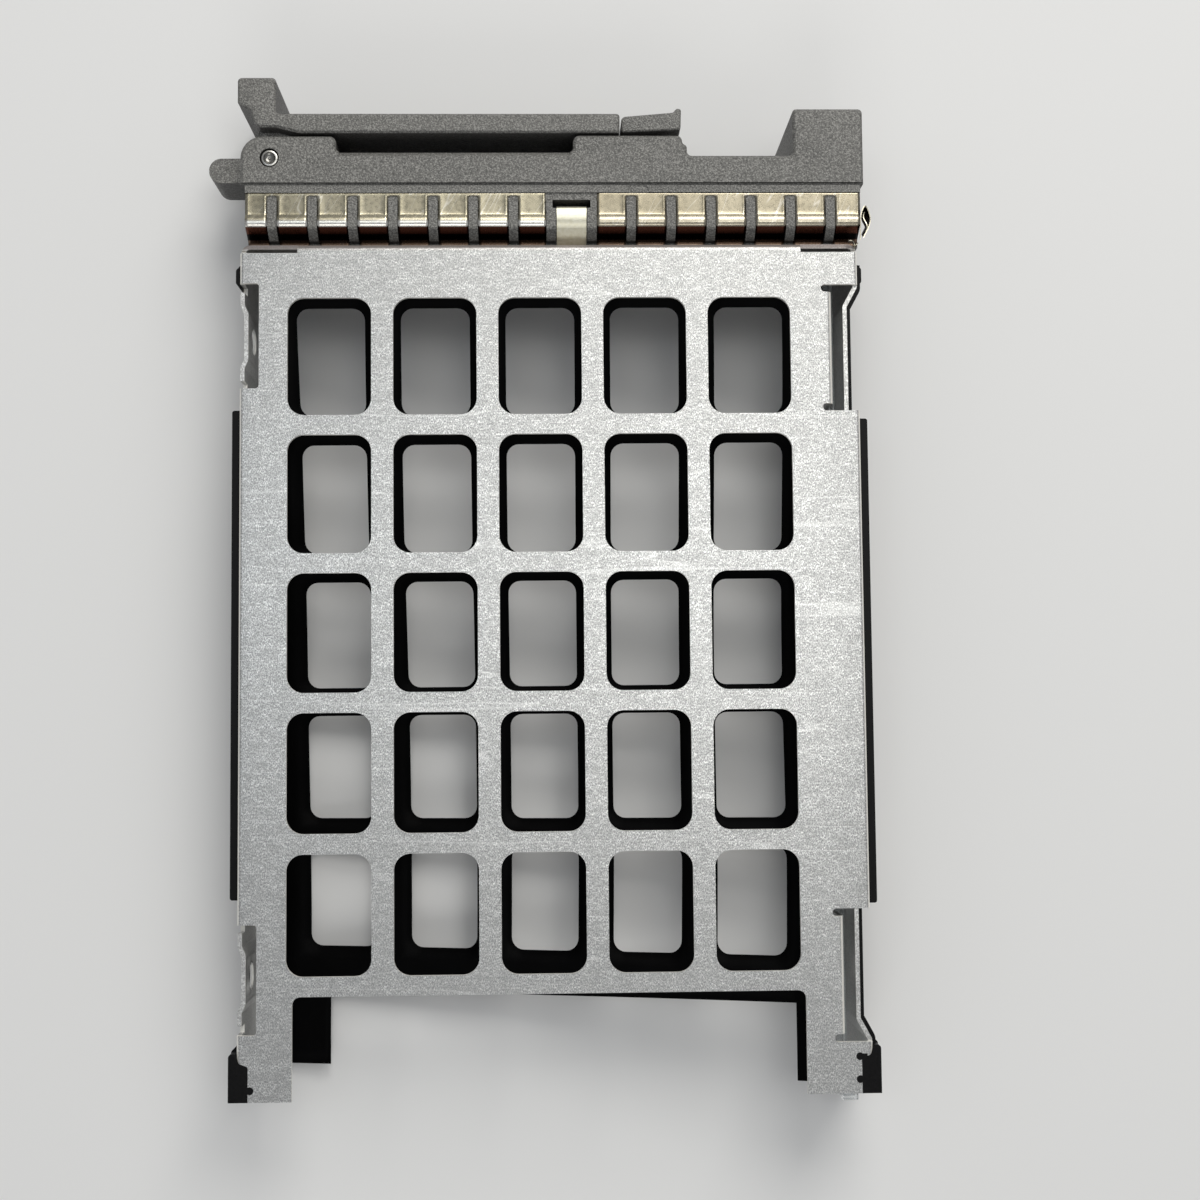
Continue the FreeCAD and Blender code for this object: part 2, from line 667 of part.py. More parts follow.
def film():
    """Film between its two edges, which hang to different depths, so that it is slightly twisted."""
    left = film_edge(drive_left + film_side_gap[0], film_sag_left)
    right = film_edge(drive_right - film_side_gap[1], film_sag_right)
    hung = Part.makeRuledSurface(left, right).extrude(Vector(0, 0, -film_t))
    low = (0, tray_height)
    cuts = [window(x, y, window_w - 2 * film_inset, window_l - 2 * film_inset, film_window_r, low)
            for x in column_x for y in film_row_y]
    gap = (-half + left_leg_w, half - right_leg_w - film_leg_step)
    rear = plate_rear + film_rear_reach
    past = tray_rear + 2 * beyond
    cuts.append(plan([(gap[0], past), (gap[0], rear, film_leg_r), (gap[1], rear, film_leg_r), (gap[1], past)], low))
    cuts.append(box((-half, half), (film_leg_end, past), low))
    return less(hung, cuts)


def film_tape():
    """Foam tape that holds the film's front edge to the underside of the plate."""
    ceiling = tray_height - sheet
    front = film_front + tape_setback
    sides = (drive_left + film_side_gap[0] + tape_inset, drive_right - film_side_gap[1] - tape_inset)
    return box(sides, (front, front + tape_len), (ceiling - film_lift + tape_gap, ceiling))


# ---- Bezel casting -------------------------------------------------------------------------
def level_edges(shape, heights):
    """Edges of a shape that lie flat at one of the heights."""
    return [edge for edge in shape.Edges
            if any(all(abs(v.Z - height) < 1e-6 for v in edge.Vertexes) for height in heights)]


def rib_outline():
    """Side view of a rib between two gasket fingers: flat at the land's level, falling to the rear."""
    top = bezel_h - land_drop
    root = bezel_h - seat_low - seat_drop
    return [(rib_y[0], root), (rib_y[2], root), (rib_y[2], top - rib_fall, land_drop),
            (rib_y[1], top, rib_w / 2), (rib_y[0], top, land_drop)]


def island():
    """Raised part between the two strips, with a bed for the ground clip."""
    block = along_x(rib_outline(), (gasket_inner[0] + fit, gasket_inner[1] - fit))
    bed_half = clip_w / 2 + clip_bed[0]
    bed = box((clip_middle - bed_half, clip_middle + bed_half), (clip_slot_y[1], rib_y[2] + beyond),
              (bezel_h - clip_bed[1], bezel_h))
    fall = along_x([(clip_slot_y[1] + beyond, bezel_h - clip_bed[1] + 0.01), (rib_y[2] + beyond, bezel_h),
                    (rib_y[2] + beyond, bezel_h - 2 * seat_low), (rib_y[1] - beyond, bezel_h - clip_bed[1])],
                   (clip_middle - bed_half, clip_middle + bed_half))
    return less(block, [bed, fall])


def front_wall():
    """Front of the bezel in plan: pin lobe, recess, latch lobe, finger room and end block."""
    outline = [(bezel_right, 0), (bezel_right, lobe_front, lobe_r), (lobe_inner, lobe_front, lobe_round),
               (lobe_inner, recess_front, corner_round), (latch_right, recess_front, corner_round),
               (latch_right, latch_front, lobe_round), (latch_left + latch_step[0], latch_front, lobe_round),
               (latch_left + latch_step[1], latch_front + latch_step[2], corner_round),
               (latch_left, latch_front + latch_step[3], corner_round), (latch_left, floor_front, lobe_round),
               (block_right, floor_front, corner_round), (block_right, block_front, corner_round),
               (bezel_left, block_front, corner_round), (bezel_left, 0)]
    front = plan(outline, (0, bezel_h))
    rims = [edge for edge in level_edges(front, (0, bezel_h)) if min(v.Y for v in edge.Vertexes) < -groove_w / 2]
    return front.makeChamfer(edge_chamfer, rims)


def seat_block():
    """Rear of the bezel, drawn from the side: land, gasket seats above and below, slopes to the tray."""
    section = [(-land_w, 0), (land_w, 0), (land_w, seat_drop), (seat_flat, seat_drop, seat_r[0]),
               (seat_slope, seat_low, seat_r[1]), (tray_front, seat_low), (tray_front, bezel_h - seat_low),
               (seat_slope, bezel_h - seat_low, seat_r[1]), (seat_flat, bezel_h - seat_drop, seat_r[0]),
               (land_w, bezel_h - seat_drop), (land_w, bezel_h - land_drop), (-land_w, bezel_h - land_drop)]
    return along_x(section, seat)


def lever_cuts():
    """Room in the bezel for the lever: fork round the hub, slot for the hook and the pin's bore."""
    hole_z = (hub_z[0] - lever_gap, hub_z[1] + lever_gap)
    fork_left = pin_x - hub_r
    fork_rear = pin_y + hub_r + hub_room
    outside = bezel_right + 2 * beyond
    ahead = lobe_front - 2 * beyond
    fork = plan([(fork_left - fork_room, ahead), (outside, ahead), (outside, fork_rear),
                 (fork_left - hub_room, fork_rear, hub_r), (fork_left - fork_room, recess_front, lobe_round)], hole_z)
    sector = Part.makeCylinder(hook_tip - pin_x + hook_room, 2 * (hook_half_h + hook_clear),
                               Vector(pin_x, pin_y, hook_z[0] - hook_clear), Vector(0, 0, 1), hook_sweep[1])
    sector.rotate(Vector(pin_x, pin_y, 0), Vector(0, 0, 1), hook_sweep[0])
    inside = box((0, pin_x - slot_edge), (grip_front, tray_rear), (0, bezel_h))
    bore = rod((pin_x, pin_y, -beyond), (0, 0, 1), pin_r + press, bezel_h + 2 * beyond)
    return [fork, sector.cut(inside), bore]


def button_cuts():
    """Room in the bezel for the button: pocket for its hub, bore for its pin and its spring."""
    pocket_z = (button_hub_z[0] - pocket_gap, button_hub_z[1] + pocket_gap)
    ahead = latch_front - beyond
    pocket = box((button_pin_x - button_hub_r - pocket_side, bar_tip + tongue_w + pocket_side),
                 (ahead, button_pin_y + button_hub_r + pocket_gap), pocket_z)
    bore = rod((button_pin_x, button_pin_y, -beyond), (0, 0, 1), button_pin_r + press, beyond + bezel_h - lug_t)
    spring = rod((spring_x, ahead, bezel_mid), (0, 1, 0), spring_r + spring_wire / 2 + spring_room,
                 spring_rear - ahead)
    return [pocket, bore, spring]


def slot_places(start, stop):
    """X places of the air slots that fit between two ends."""
    return [start + i * slot_pitch for i in range(int((stop - start) / slot_pitch) + 1)]


def pipe_passage(z, y):
    """Cut for a light pipe, with room round it."""
    across = pipe_w / 2 + pipe_room
    up = pipe_h / 2 + pipe_room
    return box((pipe_x - across, pipe_x + across), y, (z - up, z + up))


def bezel():
    ribs = [along_x(rib_outline(), (x - rib_w / 2, x + rib_w / 2)) for x in gap_left_x + gap_right_x]
    top_ribs = ribs + [island()]
    shape = joined([front_wall(), seat_block()] + top_ribs + [under(rib) for rib in ribs])

    cavity = box(cavity_x, (cavity_front, tray_front + beyond), cavity_z)
    kept = [box((latch_left + button_inset, latch_right - tongue_w), (cavity_front - beyond, cavity_front + latch_core),
                cavity_z)]
    kept += [rod((x, cavity_front - beyond, bezel_mid), (0, 1, 0), boss_r, tray_front - cavity_front + beyond)
             for x in bezel_screw_x]
    cuts = [less(cavity, kept)]
    cuts.append(box((bezel_left - beyond, bezel_right + beyond), (-groove_w / 2, groove_w / 2),
                    (bezel_h - groove_d, bezel_h + beyond)))
    cuts.append(along_x([(recess_front - press, bezel_h + press), (recess_front + recess_band, bezel_h + press),
                         (recess_front - press, bezel_h - recess_band)],
                        (latch_right + edge_chamfer, lobe_inner - edge_chamfer)))
    cuts += lever_cuts() + button_cuts()
    vents = slot_places(latch_right + slot_pitch, lobe_inner - slot_w)
    vents += slot_places(block_right + slot_margin, latch_left - slot_w)
    cuts += [upright_slot(x, (latch_front - beyond, cavity_front + beyond)) for x in vents]
    cuts.append(box((clip_middle - clip_slot_w / 2, clip_middle + clip_slot_w / 2), clip_slot_y,
                    (cavity_z[1] - beyond, bezel_h + beyond)))
    for z in pipe_z:
        cuts.append(pipe_passage(z, (block_front - beyond, tray_front + beyond)))
        across = lens_w / 2 + lens_gap
        cuts.append(box((pipe_x - across, pipe_x + across), (block_front - beyond, block_front + lens_len),
                        (z - lens_h / 2 - lens_gap, z + lens_h / 2 + lens_gap)))
    for x in bezel_screw_x:
        cuts.append(rod((x, tray_front + beyond, bezel_mid), (0, -1, 0), bezel_screw_r + press,
                        bezel_screw_len + beyond))
    mark = rod((mark_x, land_w, bezel_h - land_drop - mark_d), (0, 0, 1), mark_r, beyond)
    cuts.append(mark.common(box((bezel_left, bezel_right), (groove_w / 2, land_w), (0, bezel_h + beyond))))
    return less(shape, cuts)


def upright_slot(x, y):
    """Round-ended upright air slot through a wall."""
    radius = slot_w / 2 - press
    return along_y([(x - slot_w / 2, slot_z[0], radius), (x + slot_w / 2, slot_z[0], radius),
                    (x + slot_w / 2, slot_z[1], radius), (x - slot_w / 2, slot_z[1], radius)], y)


# ---- Lever ---------------------------------------------------------------------------------
def lever():
    foot, heel = grip_foot
    bar = plan([(bar_tip, bar_rear, bar_chamfer), (bar_tip, bar_front, foot[2]), (grip_left, bar_front, elbow[0][2]),
                (grip_left, grip_front, elbow[0][2]), (grip_right, grip_front, elbow[0][2]),
                (grip_right - foot[0], grip_front + foot[1], foot[2]),
                (grip_right - heel[0], grip_front + heel[1], heel[2]),
                (grip_right - elbow[0][0], bar_rear - elbow[0][1], elbow[0][2]),
                (grip_right - elbow[1][0], bar_rear - elbow[1][1], elbow[1][2]),
                (grip_left, bar_rear - elbow[1][1], elbow_r), (grip_left - elbow_sweep, bar_rear, elbow_r)], lever_z)
    bar = bar.makeChamfer(bar_chamfer, level_edges(bar, lever_z))
    hub = rod((pin_x, pin_y, hub_z[0]), (0, 0, 1), hub_r, hub_z[1] - hub_z[0])
    neck = plan([(pin_x - hub_r, pin_y), (pin_x - hub_r - neck_foot[0], bar_rear - neck_foot[1]),
                 (pin_x + neck_foot[2], bar_rear - neck_foot[3]), (pin_x + neck_foot[4], pin_y - neck_foot[3])],
                (hook_z[0] - neck_extra, hub_z[1]))
    hook = plan([(pin_x, pin_y - hook_half), (hook_tip, pin_y - hook_half, hook_half),
                 (hook_tip, pin_y + hook_half, hook_half), (pin_x, pin_y + hook_half)], hook_z)
    tongue = plan([(tongue_left, bar_rear - bar_chamfer), (tongue_left + tongue_w, bar_rear - bar_chamfer),
                   (tongue_left + tongue_w, tongue_rear, elbow[0][2]), (tongue_left, tongue_rear, elbow[0][2])],
                  tongue_z)
    shape = joined([bar, hub, neck, hook, tongue])
    cuts = [rod((pin_x, pin_y, 0), (0, 0, 1), pin_r + fit, bezel_h)]
    cuts.append(box((bar_tip, bar_tip + catch[0]), (tongue_rear - catch[1], tongue_rear - catch[2]),
                    (tongue_z[0] - beyond, tongue_z[1] + beyond)))
    solid_end = box((pin_x - hub_r - hub_room, hook_tip), (grip_front, tray_rear), (0, bezel_h))
    for x in slot_places(latch_right + slot_pitch, pin_x - hub_r - hub_room - slot_w):
        cuts.append(upright_slot(x, (bar_front - beyond, bar_rear + beyond / 2)).cut(solid_end))
    return less(shape, cuts)


def lever_pin():
    """Pivot pin with a shallow cup in each end."""
    shaft = rod((pin_x, pin_y, pin_inside), (0, 0, 1), pin_r, bezel_h - 2 * pin_inside)
    top_cup = cone((pin_x, pin_y, bezel_h - pin_inside), (0, 0, -1), pin_cup[0], pin_cup[1], pin_cup[2])
    return less(shaft, [top_cup, under(top_cup)])


def lever_spring():
    """Torsion spring wound round the hub below the neck."""
    radius = hub_r + lever_spring_wire / 2 + lever_spring_gap
    start = hub_z[0] + lever_spring_wire / 2 + lever_spring_gap
    return coil((pin_x, pin_y, start), (0, 0, 1), radius, lever_spring_wire, lever_spring_wire + lever_spring_gap,
                lever_spring_len)


# ---- Release button ------------------------------------------------------------------------
def button():
    plate = plan([(button_right, latch_front - 0.55, 0.3), (button_right, bar_front + 0.3, 0.6),
                  (button_left + 0.9, bar_front - 0.25), (button_left + 0.45, bar_front - 0.75, 0.3),
                  (button_left - 0.1, bar_front - 0.7, 0.3), (button_left, latch_front - 0.85, 0.4)], button_z)
    plate = plate.makeChamfer(button_chamfer, level_edges(plate, button_z))
    hub = rod((button_pin_x, button_pin_y, button_hub_z[0]), (0, 0, 1), button_hub_r, 2 * button_hub_half)
    arm = plan([(button_pin_x - button_arm_half, latch_front - beyond),
                (button_pin_x + button_arm_half, latch_front - beyond),
                (button_pin_x + button_hub_r, button_pin_y), (button_pin_x - button_hub_r, button_pin_y)],
               button_hub_z)
    tip = tongue_left - nose_gap
    catch_nose = plan([(button_pin_x, tongue_rear - nose[0]), (tip, tongue_rear - nose[0]),
                       (tip, tongue_rear - nose[1]), (button_pin_x, tongue_rear - nose[2])],
                      (tongue_z[0] + nose_inset, tongue_z[1] - nose_inset))
    shape = joined([plate, hub, arm, catch_nose])
    return less(shape, [rod((button_pin_x, button_pin_y, 0), (0, 0, 1), button_pin_r + fit, bezel_h)])


def button_pin():
    return rod((button_pin_x, button_pin_y, pin_inside), (0, 0, 1), button_pin_r, bezel_h - lug_t - 2 * pin_inside)


def button_spring():
    """Compression spring between the casting and the back of the button."""
    front = latch_front - edge_chamfer - press
    length = spring_rear - front - 2 * spring_wire
    return coil((spring_x, front + spring_wire / 2, bezel_mid), (0, 1, 0), spring_r, spring_wire, spring_pitch,
                length)


# ---- Gaskets and ground clip ---------------------------------------------------------------
def finger_gasket(x, gaps):
    """Plated strip with a row of spring fingers, on top of the bezel's seat."""
    start = land_w + gasket_front
    flat = bezel_h - seat_drop + foil / 2 + foil_seat
    line = [(start, flat)] + [(y, bezel_h - depth) for y, depth in gasket_bends]
    strip = along_x(ribbon(line + [(gasket_tail, bezel_h - gasket_tail_drop)], -foil / 2, foil / 2), x)
    return less(strip, [box((gap - finger_gap / 2, gap + finger_gap / 2), (land_w + finger_root, gasket_tail + beyond),
                            (bezel_h - 2 * seat_low, bezel_h + beyond)) for gap in gaps])


def under(shape):
    """The same shape on the bezel's underside."""
    return shape.mirror(Vector(0, 0, bezel_mid), Vector(0, 0, 1))


def ground_clip():
    """Bright spring tongue that hooks into the slot between the two strips."""
    line = [(clip_slot_y[1] - clip_root[0][0], bezel_h - clip_root[0][1]),
            (clip_slot_y[1] - clip_root[1][0], bezel_h - clip_root[1][1], foil + seat_drop)]
    line += [(y, bezel_h - depth, radius) for y, depth, radius in clip_bends]
    line.append((gasket_tail, bezel_h - gasket_tail_drop))
    return along_x(ribbon(line, -foil / 2, foil / 2), (clip_middle - clip_w / 2, clip_middle + clip_w / 2))


# ---- Light pipes and screws ----------------------------------------------------------------
def light_pipe(z):
    """Clear pipe from its lens in the bezel's face to its collector behind the leg."""
    height = (z - pipe_h / 2, z + pipe_h / 2)
    side = pipe_w / 2
    bar = box((pipe_x - side, pipe_x + side), (block_front + lens_len / 2, pipe_rear - pipe_head_len), height)
    lens = box((pipe_x - lens_w / 2, pipe_x + lens_w / 2), (block_front, block_front + lens_len - pipe_room),
               (z - lens_h / 2, z + lens_h / 2))
    head_start = pipe_rear - pipe_head_len
    neck = head_start - pipe_head_neck
    wide = pipe_head_w / 2
    head = plan([(pipe_x - side, neck), (pipe_x + side, neck), (pipe_head_x + wide, head_start),
                 (pipe_head_x + wide, pipe_rear), (pipe_head_x - wide, pipe_rear), (pipe_head_x - wide, head_start)],
                height)
    return joined([bar, lens, head])


def bezel_screws():
    screws = []
    back = tray_front + sheet
    for x in bezel_screw_x:
        head = rod((x, back, bezel_mid), (0, 1, 0), bezel_screw_head_r, bezel_screw_head_h)
        deep = (back + cross_floor, back + 2 * bezel_screw_head_h)
        thin = cross_w / 2
        cross = [box((x - cross_half, x + cross_half), deep, (bezel_mid - thin, bezel_mid + thin)),
                 box((x - thin, x + thin), deep, (bezel_mid - cross_half, bezel_mid + cross_half))]
        shank = rod((x, back + cross_floor / 2, bezel_mid), (0, -1, 0), bezel_screw_r, bezel_screw_len)
        screws.append(less(joined([head, shank]), cross))
    return Part.makeCompound(screws)


nodes = {
    "cage": tray(),
    "right_rail": rail(right_wall_line(), 1, right_keys),
    "left_rail": mirrored(rail(left_wall_line(), 0, left_keys)),
    "insulator_film": film(),
    "film_tape": film_tape(),
    "bezel": bezel(),
    "ejector_lever": lever(),
    "lever_pin": lever_pin(),
    "lever_spring": lever_spring(),
    "release_button": button(),
    "button_pin": button_pin(),
    "button_spring": button_spring(),
    "gasket_right": finger_gasket(gasket_right_x, gap_right_x),
    "gasket_left": finger_gasket(gasket_left_x, gap_left_x),
    "ground_clip": ground_clip(),
    "light_pipe_upper": light_pipe(pipe_z[0]),
    "light_pipe_lower": light_pipe(pipe_z[1]),
    "bezel_screws": bezel_screws(),
}
nodes["gasket_under_right"] = under(nodes["gasket_right"])
nodes["gasket_under_left"] = under(nodes["gasket_left"])

for name, shape in nodes.items():
    shape.exportStep("parts/" + name + ".step")
    print(name, len(shape.Solids), "solid", round(shape.Volume, 2), "mm3", "valid" if shape.isValid() else "INVALID")
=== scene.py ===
import json
import math

import bmesh
import bpy
import numpy as np
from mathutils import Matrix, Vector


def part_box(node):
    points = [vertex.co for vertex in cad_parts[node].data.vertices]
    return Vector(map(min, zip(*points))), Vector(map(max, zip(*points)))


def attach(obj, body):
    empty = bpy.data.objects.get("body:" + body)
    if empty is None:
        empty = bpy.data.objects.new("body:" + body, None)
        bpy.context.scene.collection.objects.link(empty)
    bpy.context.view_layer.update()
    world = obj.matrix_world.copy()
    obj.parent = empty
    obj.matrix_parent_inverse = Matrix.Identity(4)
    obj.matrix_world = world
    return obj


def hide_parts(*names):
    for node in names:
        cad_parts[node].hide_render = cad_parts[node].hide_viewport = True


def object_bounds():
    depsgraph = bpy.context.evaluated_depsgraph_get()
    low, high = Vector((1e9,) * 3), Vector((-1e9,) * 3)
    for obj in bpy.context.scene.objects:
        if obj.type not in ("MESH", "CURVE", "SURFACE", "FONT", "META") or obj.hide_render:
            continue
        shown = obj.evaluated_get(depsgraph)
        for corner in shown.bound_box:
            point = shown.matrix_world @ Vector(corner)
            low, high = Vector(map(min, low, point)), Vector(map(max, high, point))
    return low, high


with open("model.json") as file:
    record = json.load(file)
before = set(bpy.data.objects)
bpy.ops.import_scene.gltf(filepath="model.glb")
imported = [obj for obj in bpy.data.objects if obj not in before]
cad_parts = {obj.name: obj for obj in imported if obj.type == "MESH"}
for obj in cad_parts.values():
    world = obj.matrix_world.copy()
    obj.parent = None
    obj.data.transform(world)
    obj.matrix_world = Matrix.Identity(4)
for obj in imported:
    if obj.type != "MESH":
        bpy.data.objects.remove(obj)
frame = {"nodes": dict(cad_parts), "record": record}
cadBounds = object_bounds()
mm = 0.001
hair = 0.0001 * mm  # points closer than this count as one
print("frame loaded:", len(frame["nodes"]), "nodes")


# nodes and their sockets
def socket(sockets, name):
    return next(one for one in sockets if one.name == name and one.enabled)


def addNode(tree, kind, settings=None, inputs=None):
    node = tree.nodes.new(kind)
    for name, value in (settings or {}).items():
        setattr(node, name, value)
    for name, value in (inputs or {}).items():
        socket(node.inputs, name).default_value = value
    return node


def wire(tree, source, output, target, entry):
    tree.links.new(socket(source.outputs, output), socket(target.inputs, entry))


def newGroup(name, entries, exits):
    group = bpy.data.node_groups.new(name, "ShaderNodeTree")
    for label, kind, value in entries:
        entry = group.interface.new_socket(name=label, in_out="INPUT", socket_type=kind)
        entry.default_value = value
    for label, kind in exits:
        group.interface.new_socket(name=label, in_out="OUTPUT", socket_type=kind)
    return group, group.nodes.new("NodeGroupInput"), group.nodes.new("NodeGroupOutput")


def sizedNoise(group, entry, place, output, sizeName):
    # noise over a place stretched on each axis, with spots of the size that the group is given
    stretched = addNode(group, "ShaderNodeVectorMath", {"operation": "MULTIPLY"})
    group.links.new(place.outputs[output], stretched.inputs[0])
    group.links.new(entry.outputs["Stretch"], stretched.inputs[1])
    scale = addNode(group, "ShaderNodeMath", {"operation": "DIVIDE"})
    scale.inputs[0].default_value = 1.0
    group.links.new(entry.outputs[sizeName], scale.inputs[1])
    noise = addNode(group, "ShaderNodeTexNoise", {"noise_dimensions": "3D"})
    wire(group, stretched, "Vector", noise, "Vector")
    wire(group, scale, "Value", noise, "Scale")
    return noise


# effects that several finishes share
def grainGroup():
    # grain: fractal noise with spots of a given size; sharpness spreads its tone about the middle
    group, entry, leave = newGroup(
        "surfaceGrain",
        [("Spot Size", "NodeSocketFloat", 0.3 * mm), ("Stretch", "NodeSocketVector", (1.0, 1.0, 1.0)),
         ("Detail", "NodeSocketFloat", 3.0), ("Sharpness", "NodeSocketFloat", 2.0)],
        [("Tone", "NodeSocketFloat"), ("Height", "NodeSocketFloat")])
    noise = sizedNoise(group, entry, addNode(group, "ShaderNodeTexCoord"), "Object", "Spot Size")
    wire(group, entry, "Detail", noise, "Detail")
    centred = addNode(group, "ShaderNodeMath", {"operation": "SUBTRACT"})
    group.links.new(noise.outputs["Fac"], centred.inputs[0])
    centred.inputs[1].default_value = 0.5
    spread = addNode(group, "ShaderNodeMath", {"operation": "MULTIPLY_ADD", "use_clamp": True})
    group.links.new(centred.outputs["Value"], spread.inputs[0])
    group.links.new(entry.outputs["Sharpness"], spread.inputs[1])
    spread.inputs[2].default_value = 0.5
    group.links.new(spread.outputs["Value"], leave.inputs["Tone"])
    group.links.new(noise.outputs["Fac"], leave.inputs["Height"])
    return group


def scratchGroup():
    # scratches: noise stretched along one line, kept only where it passes near its middle value
    group, entry, leave = newGroup(
        "fineScratches",
        [("Spacing", "NodeSocketFloat", 1.5 * mm), ("Stretch", "NodeSocketVector", (1.0, 0.06, 1.0)),
         ("Turn", "NodeSocketFloat", 0.0), ("Width", "NodeSocketFloat", 0.02)],
        [("Mask", "NodeSocketFloat")])
    place = addNode(group, "ShaderNodeTexCoord")
    turned = addNode(group, "ShaderNodeVectorRotate", {"rotation_type": "Z_AXIS"})
    wire(group, place, "Object", turned, "Vector")
    wire(group, entry, "Turn", turned, "Angle")
    noise = sizedNoise(group, entry, turned, "Vector", "Spacing")
    noise.inputs["Detail"].default_value = 1.0
    away = addNode(group, "ShaderNodeMath", {"operation": "SUBTRACT"})
    group.links.new(noise.outputs["Fac"], away.inputs[0])
    away.inputs[1].default_value = 0.5
    size = addNode(group, "ShaderNodeMath", {"operation": "ABSOLUTE"})
    group.links.new(away.outputs["Value"], size.inputs[0])
    near = addNode(group, "ShaderNodeMapRange", {"interpolation_type": "SMOOTHSTEP"},
                   {"From Min": 0.0, "To Min": 1.0, "To Max": 0.0})
    group.links.new(size.outputs["Value"], near.inputs["Value"])
    group.links.new(entry.outputs["Width"], near.inputs["From Max"])
    group.links.new(near.outputs["Result"], leave.inputs["Mask"])
    return group


def uprightGroup():
    # upright faces: one where the face stands up, nought where it lies flat
    group, entry, leave = newGroup(
        "uprightFaces", [("Low", "NodeSocketFloat", 0.3), ("High", "NodeSocketFloat", 0.85)],
        [("Mask", "NodeSocketFloat")])
    facing = addNode(group, "ShaderNodeNewGeometry")
    split = addNode(group, "ShaderNodeSeparateXYZ")
    group.links.new(facing.outputs["Normal"], split.inputs["Vector"])
    size = addNode(group, "ShaderNodeMath", {"operation": "ABSOLUTE"})
    group.links.new(split.outputs["Z"], size.inputs[0])
    span = addNode(group, "ShaderNodeMapRange", {"interpolation_type": "SMOOTHSTEP"},
                   {"To Min": 1.0, "To Max": 0.0})
    group.links.new(size.outputs["Value"], span.inputs["Value"])
    group.links.new(entry.outputs["Low"], span.inputs["From Min"])
    group.links.new(entry.outputs["High"], span.inputs["From Max"])
    group.links.new(span.outputs["Result"], leave.inputs["Mask"])
    return group


grain = grainGroup()
scratches = scratchGroup()
upright = uprightGroup()


def placeGroup(tree, group, values):
    node = tree.nodes.new("ShaderNodeGroup")
    node.node_tree = group
    for name, value in values.items():
        node.inputs[name].default_value = value
    return node


def newMaterial(name, plain):
    # plain values go straight on the shader's own sockets
    material = bpy.data.materials.new(name)
    material.use_nodes = True
    tree = material.node_tree
    shader = tree.nodes["Principled BSDF"]
    for label, value in plain.items():
        shader.inputs[label].default_value = value
    return material, tree, shader


def toneColour(tree, source, output, dark, light):
    # from dark to light by a texture's tone
    blend = addNode(tree, "ShaderNodeMix", {"data_type": "RGBA"})
    tree.links.new(source.outputs[output], socket(blend.inputs, "Factor"))
    socket(blend.inputs, "A").default_value = (*dark, 1.0)
    socket(blend.inputs, "B").default_value = (*light, 1.0)
    return blend


def overColour(tree, base, mask, output, colour, amount):
    # the colour laid over the base by mask times amount
    share = addNode(tree, "ShaderNodeMath", {"operation": "MULTIPLY"})
    tree.links.new(mask.outputs[output], share.inputs[0])
    share.inputs[1].default_value = amount
    blend = addNode(tree, "ShaderNodeMix", {"data_type": "RGBA"})
    tree.links.new(share.outputs["Value"], socket(blend.inputs, "Factor"))
    tree.links.new(socket(base.outputs, "Result"), socket(blend.inputs, "A"))
    socket(blend.inputs, "B").default_value = (*colour, 1.0)
    return blend


def spanShader(tree, shader, entry, source, output, low, high):
    # one of the shader's values runs from low to high as the source goes from nought to one
    span = addNode(tree, "ShaderNodeMapRange", None, {"To Min": low, "To Max": high})
    wire(tree, source, output, span, "Value")
    wire(tree, span, "Result", shader, entry)


def addBump(tree, shader, source, output, depth, strength):
    bump = addNode(tree, "ShaderNodeBump", None, {"Distance": depth, "Strength": strength})
    wire(tree, source, output, bump, "Height")
    wire(tree, bump, "Normal", shader, "Normal")


def levelMask(tree, low, high, axis="Z"):
    # nought below the low level, one above the high level, along one axis of the part
    place = addNode(tree, "ShaderNodeTexCoord")
    split = addNode(tree, "ShaderNodeSeparateXYZ")
    tree.links.new(place.outputs["Object"], split.inputs["Vector"])
    span = addNode(tree, "ShaderNodeMapRange", {"interpolation_type": "SMOOTHSTEP"},
                   {"From Min": low, "From Max": high})
    tree.links.new(split.outputs[axis], span.inputs["Value"])
    return span


def multiplied(tree, first, firstOut, second, secondOut):
    product = addNode(tree, "ShaderNodeMath", {"operation": "MULTIPLY"})
    tree.links.new(first.outputs[firstOut], product.inputs[0])
    tree.links.new(second.outputs[secondOut], product.inputs[1])
    return product


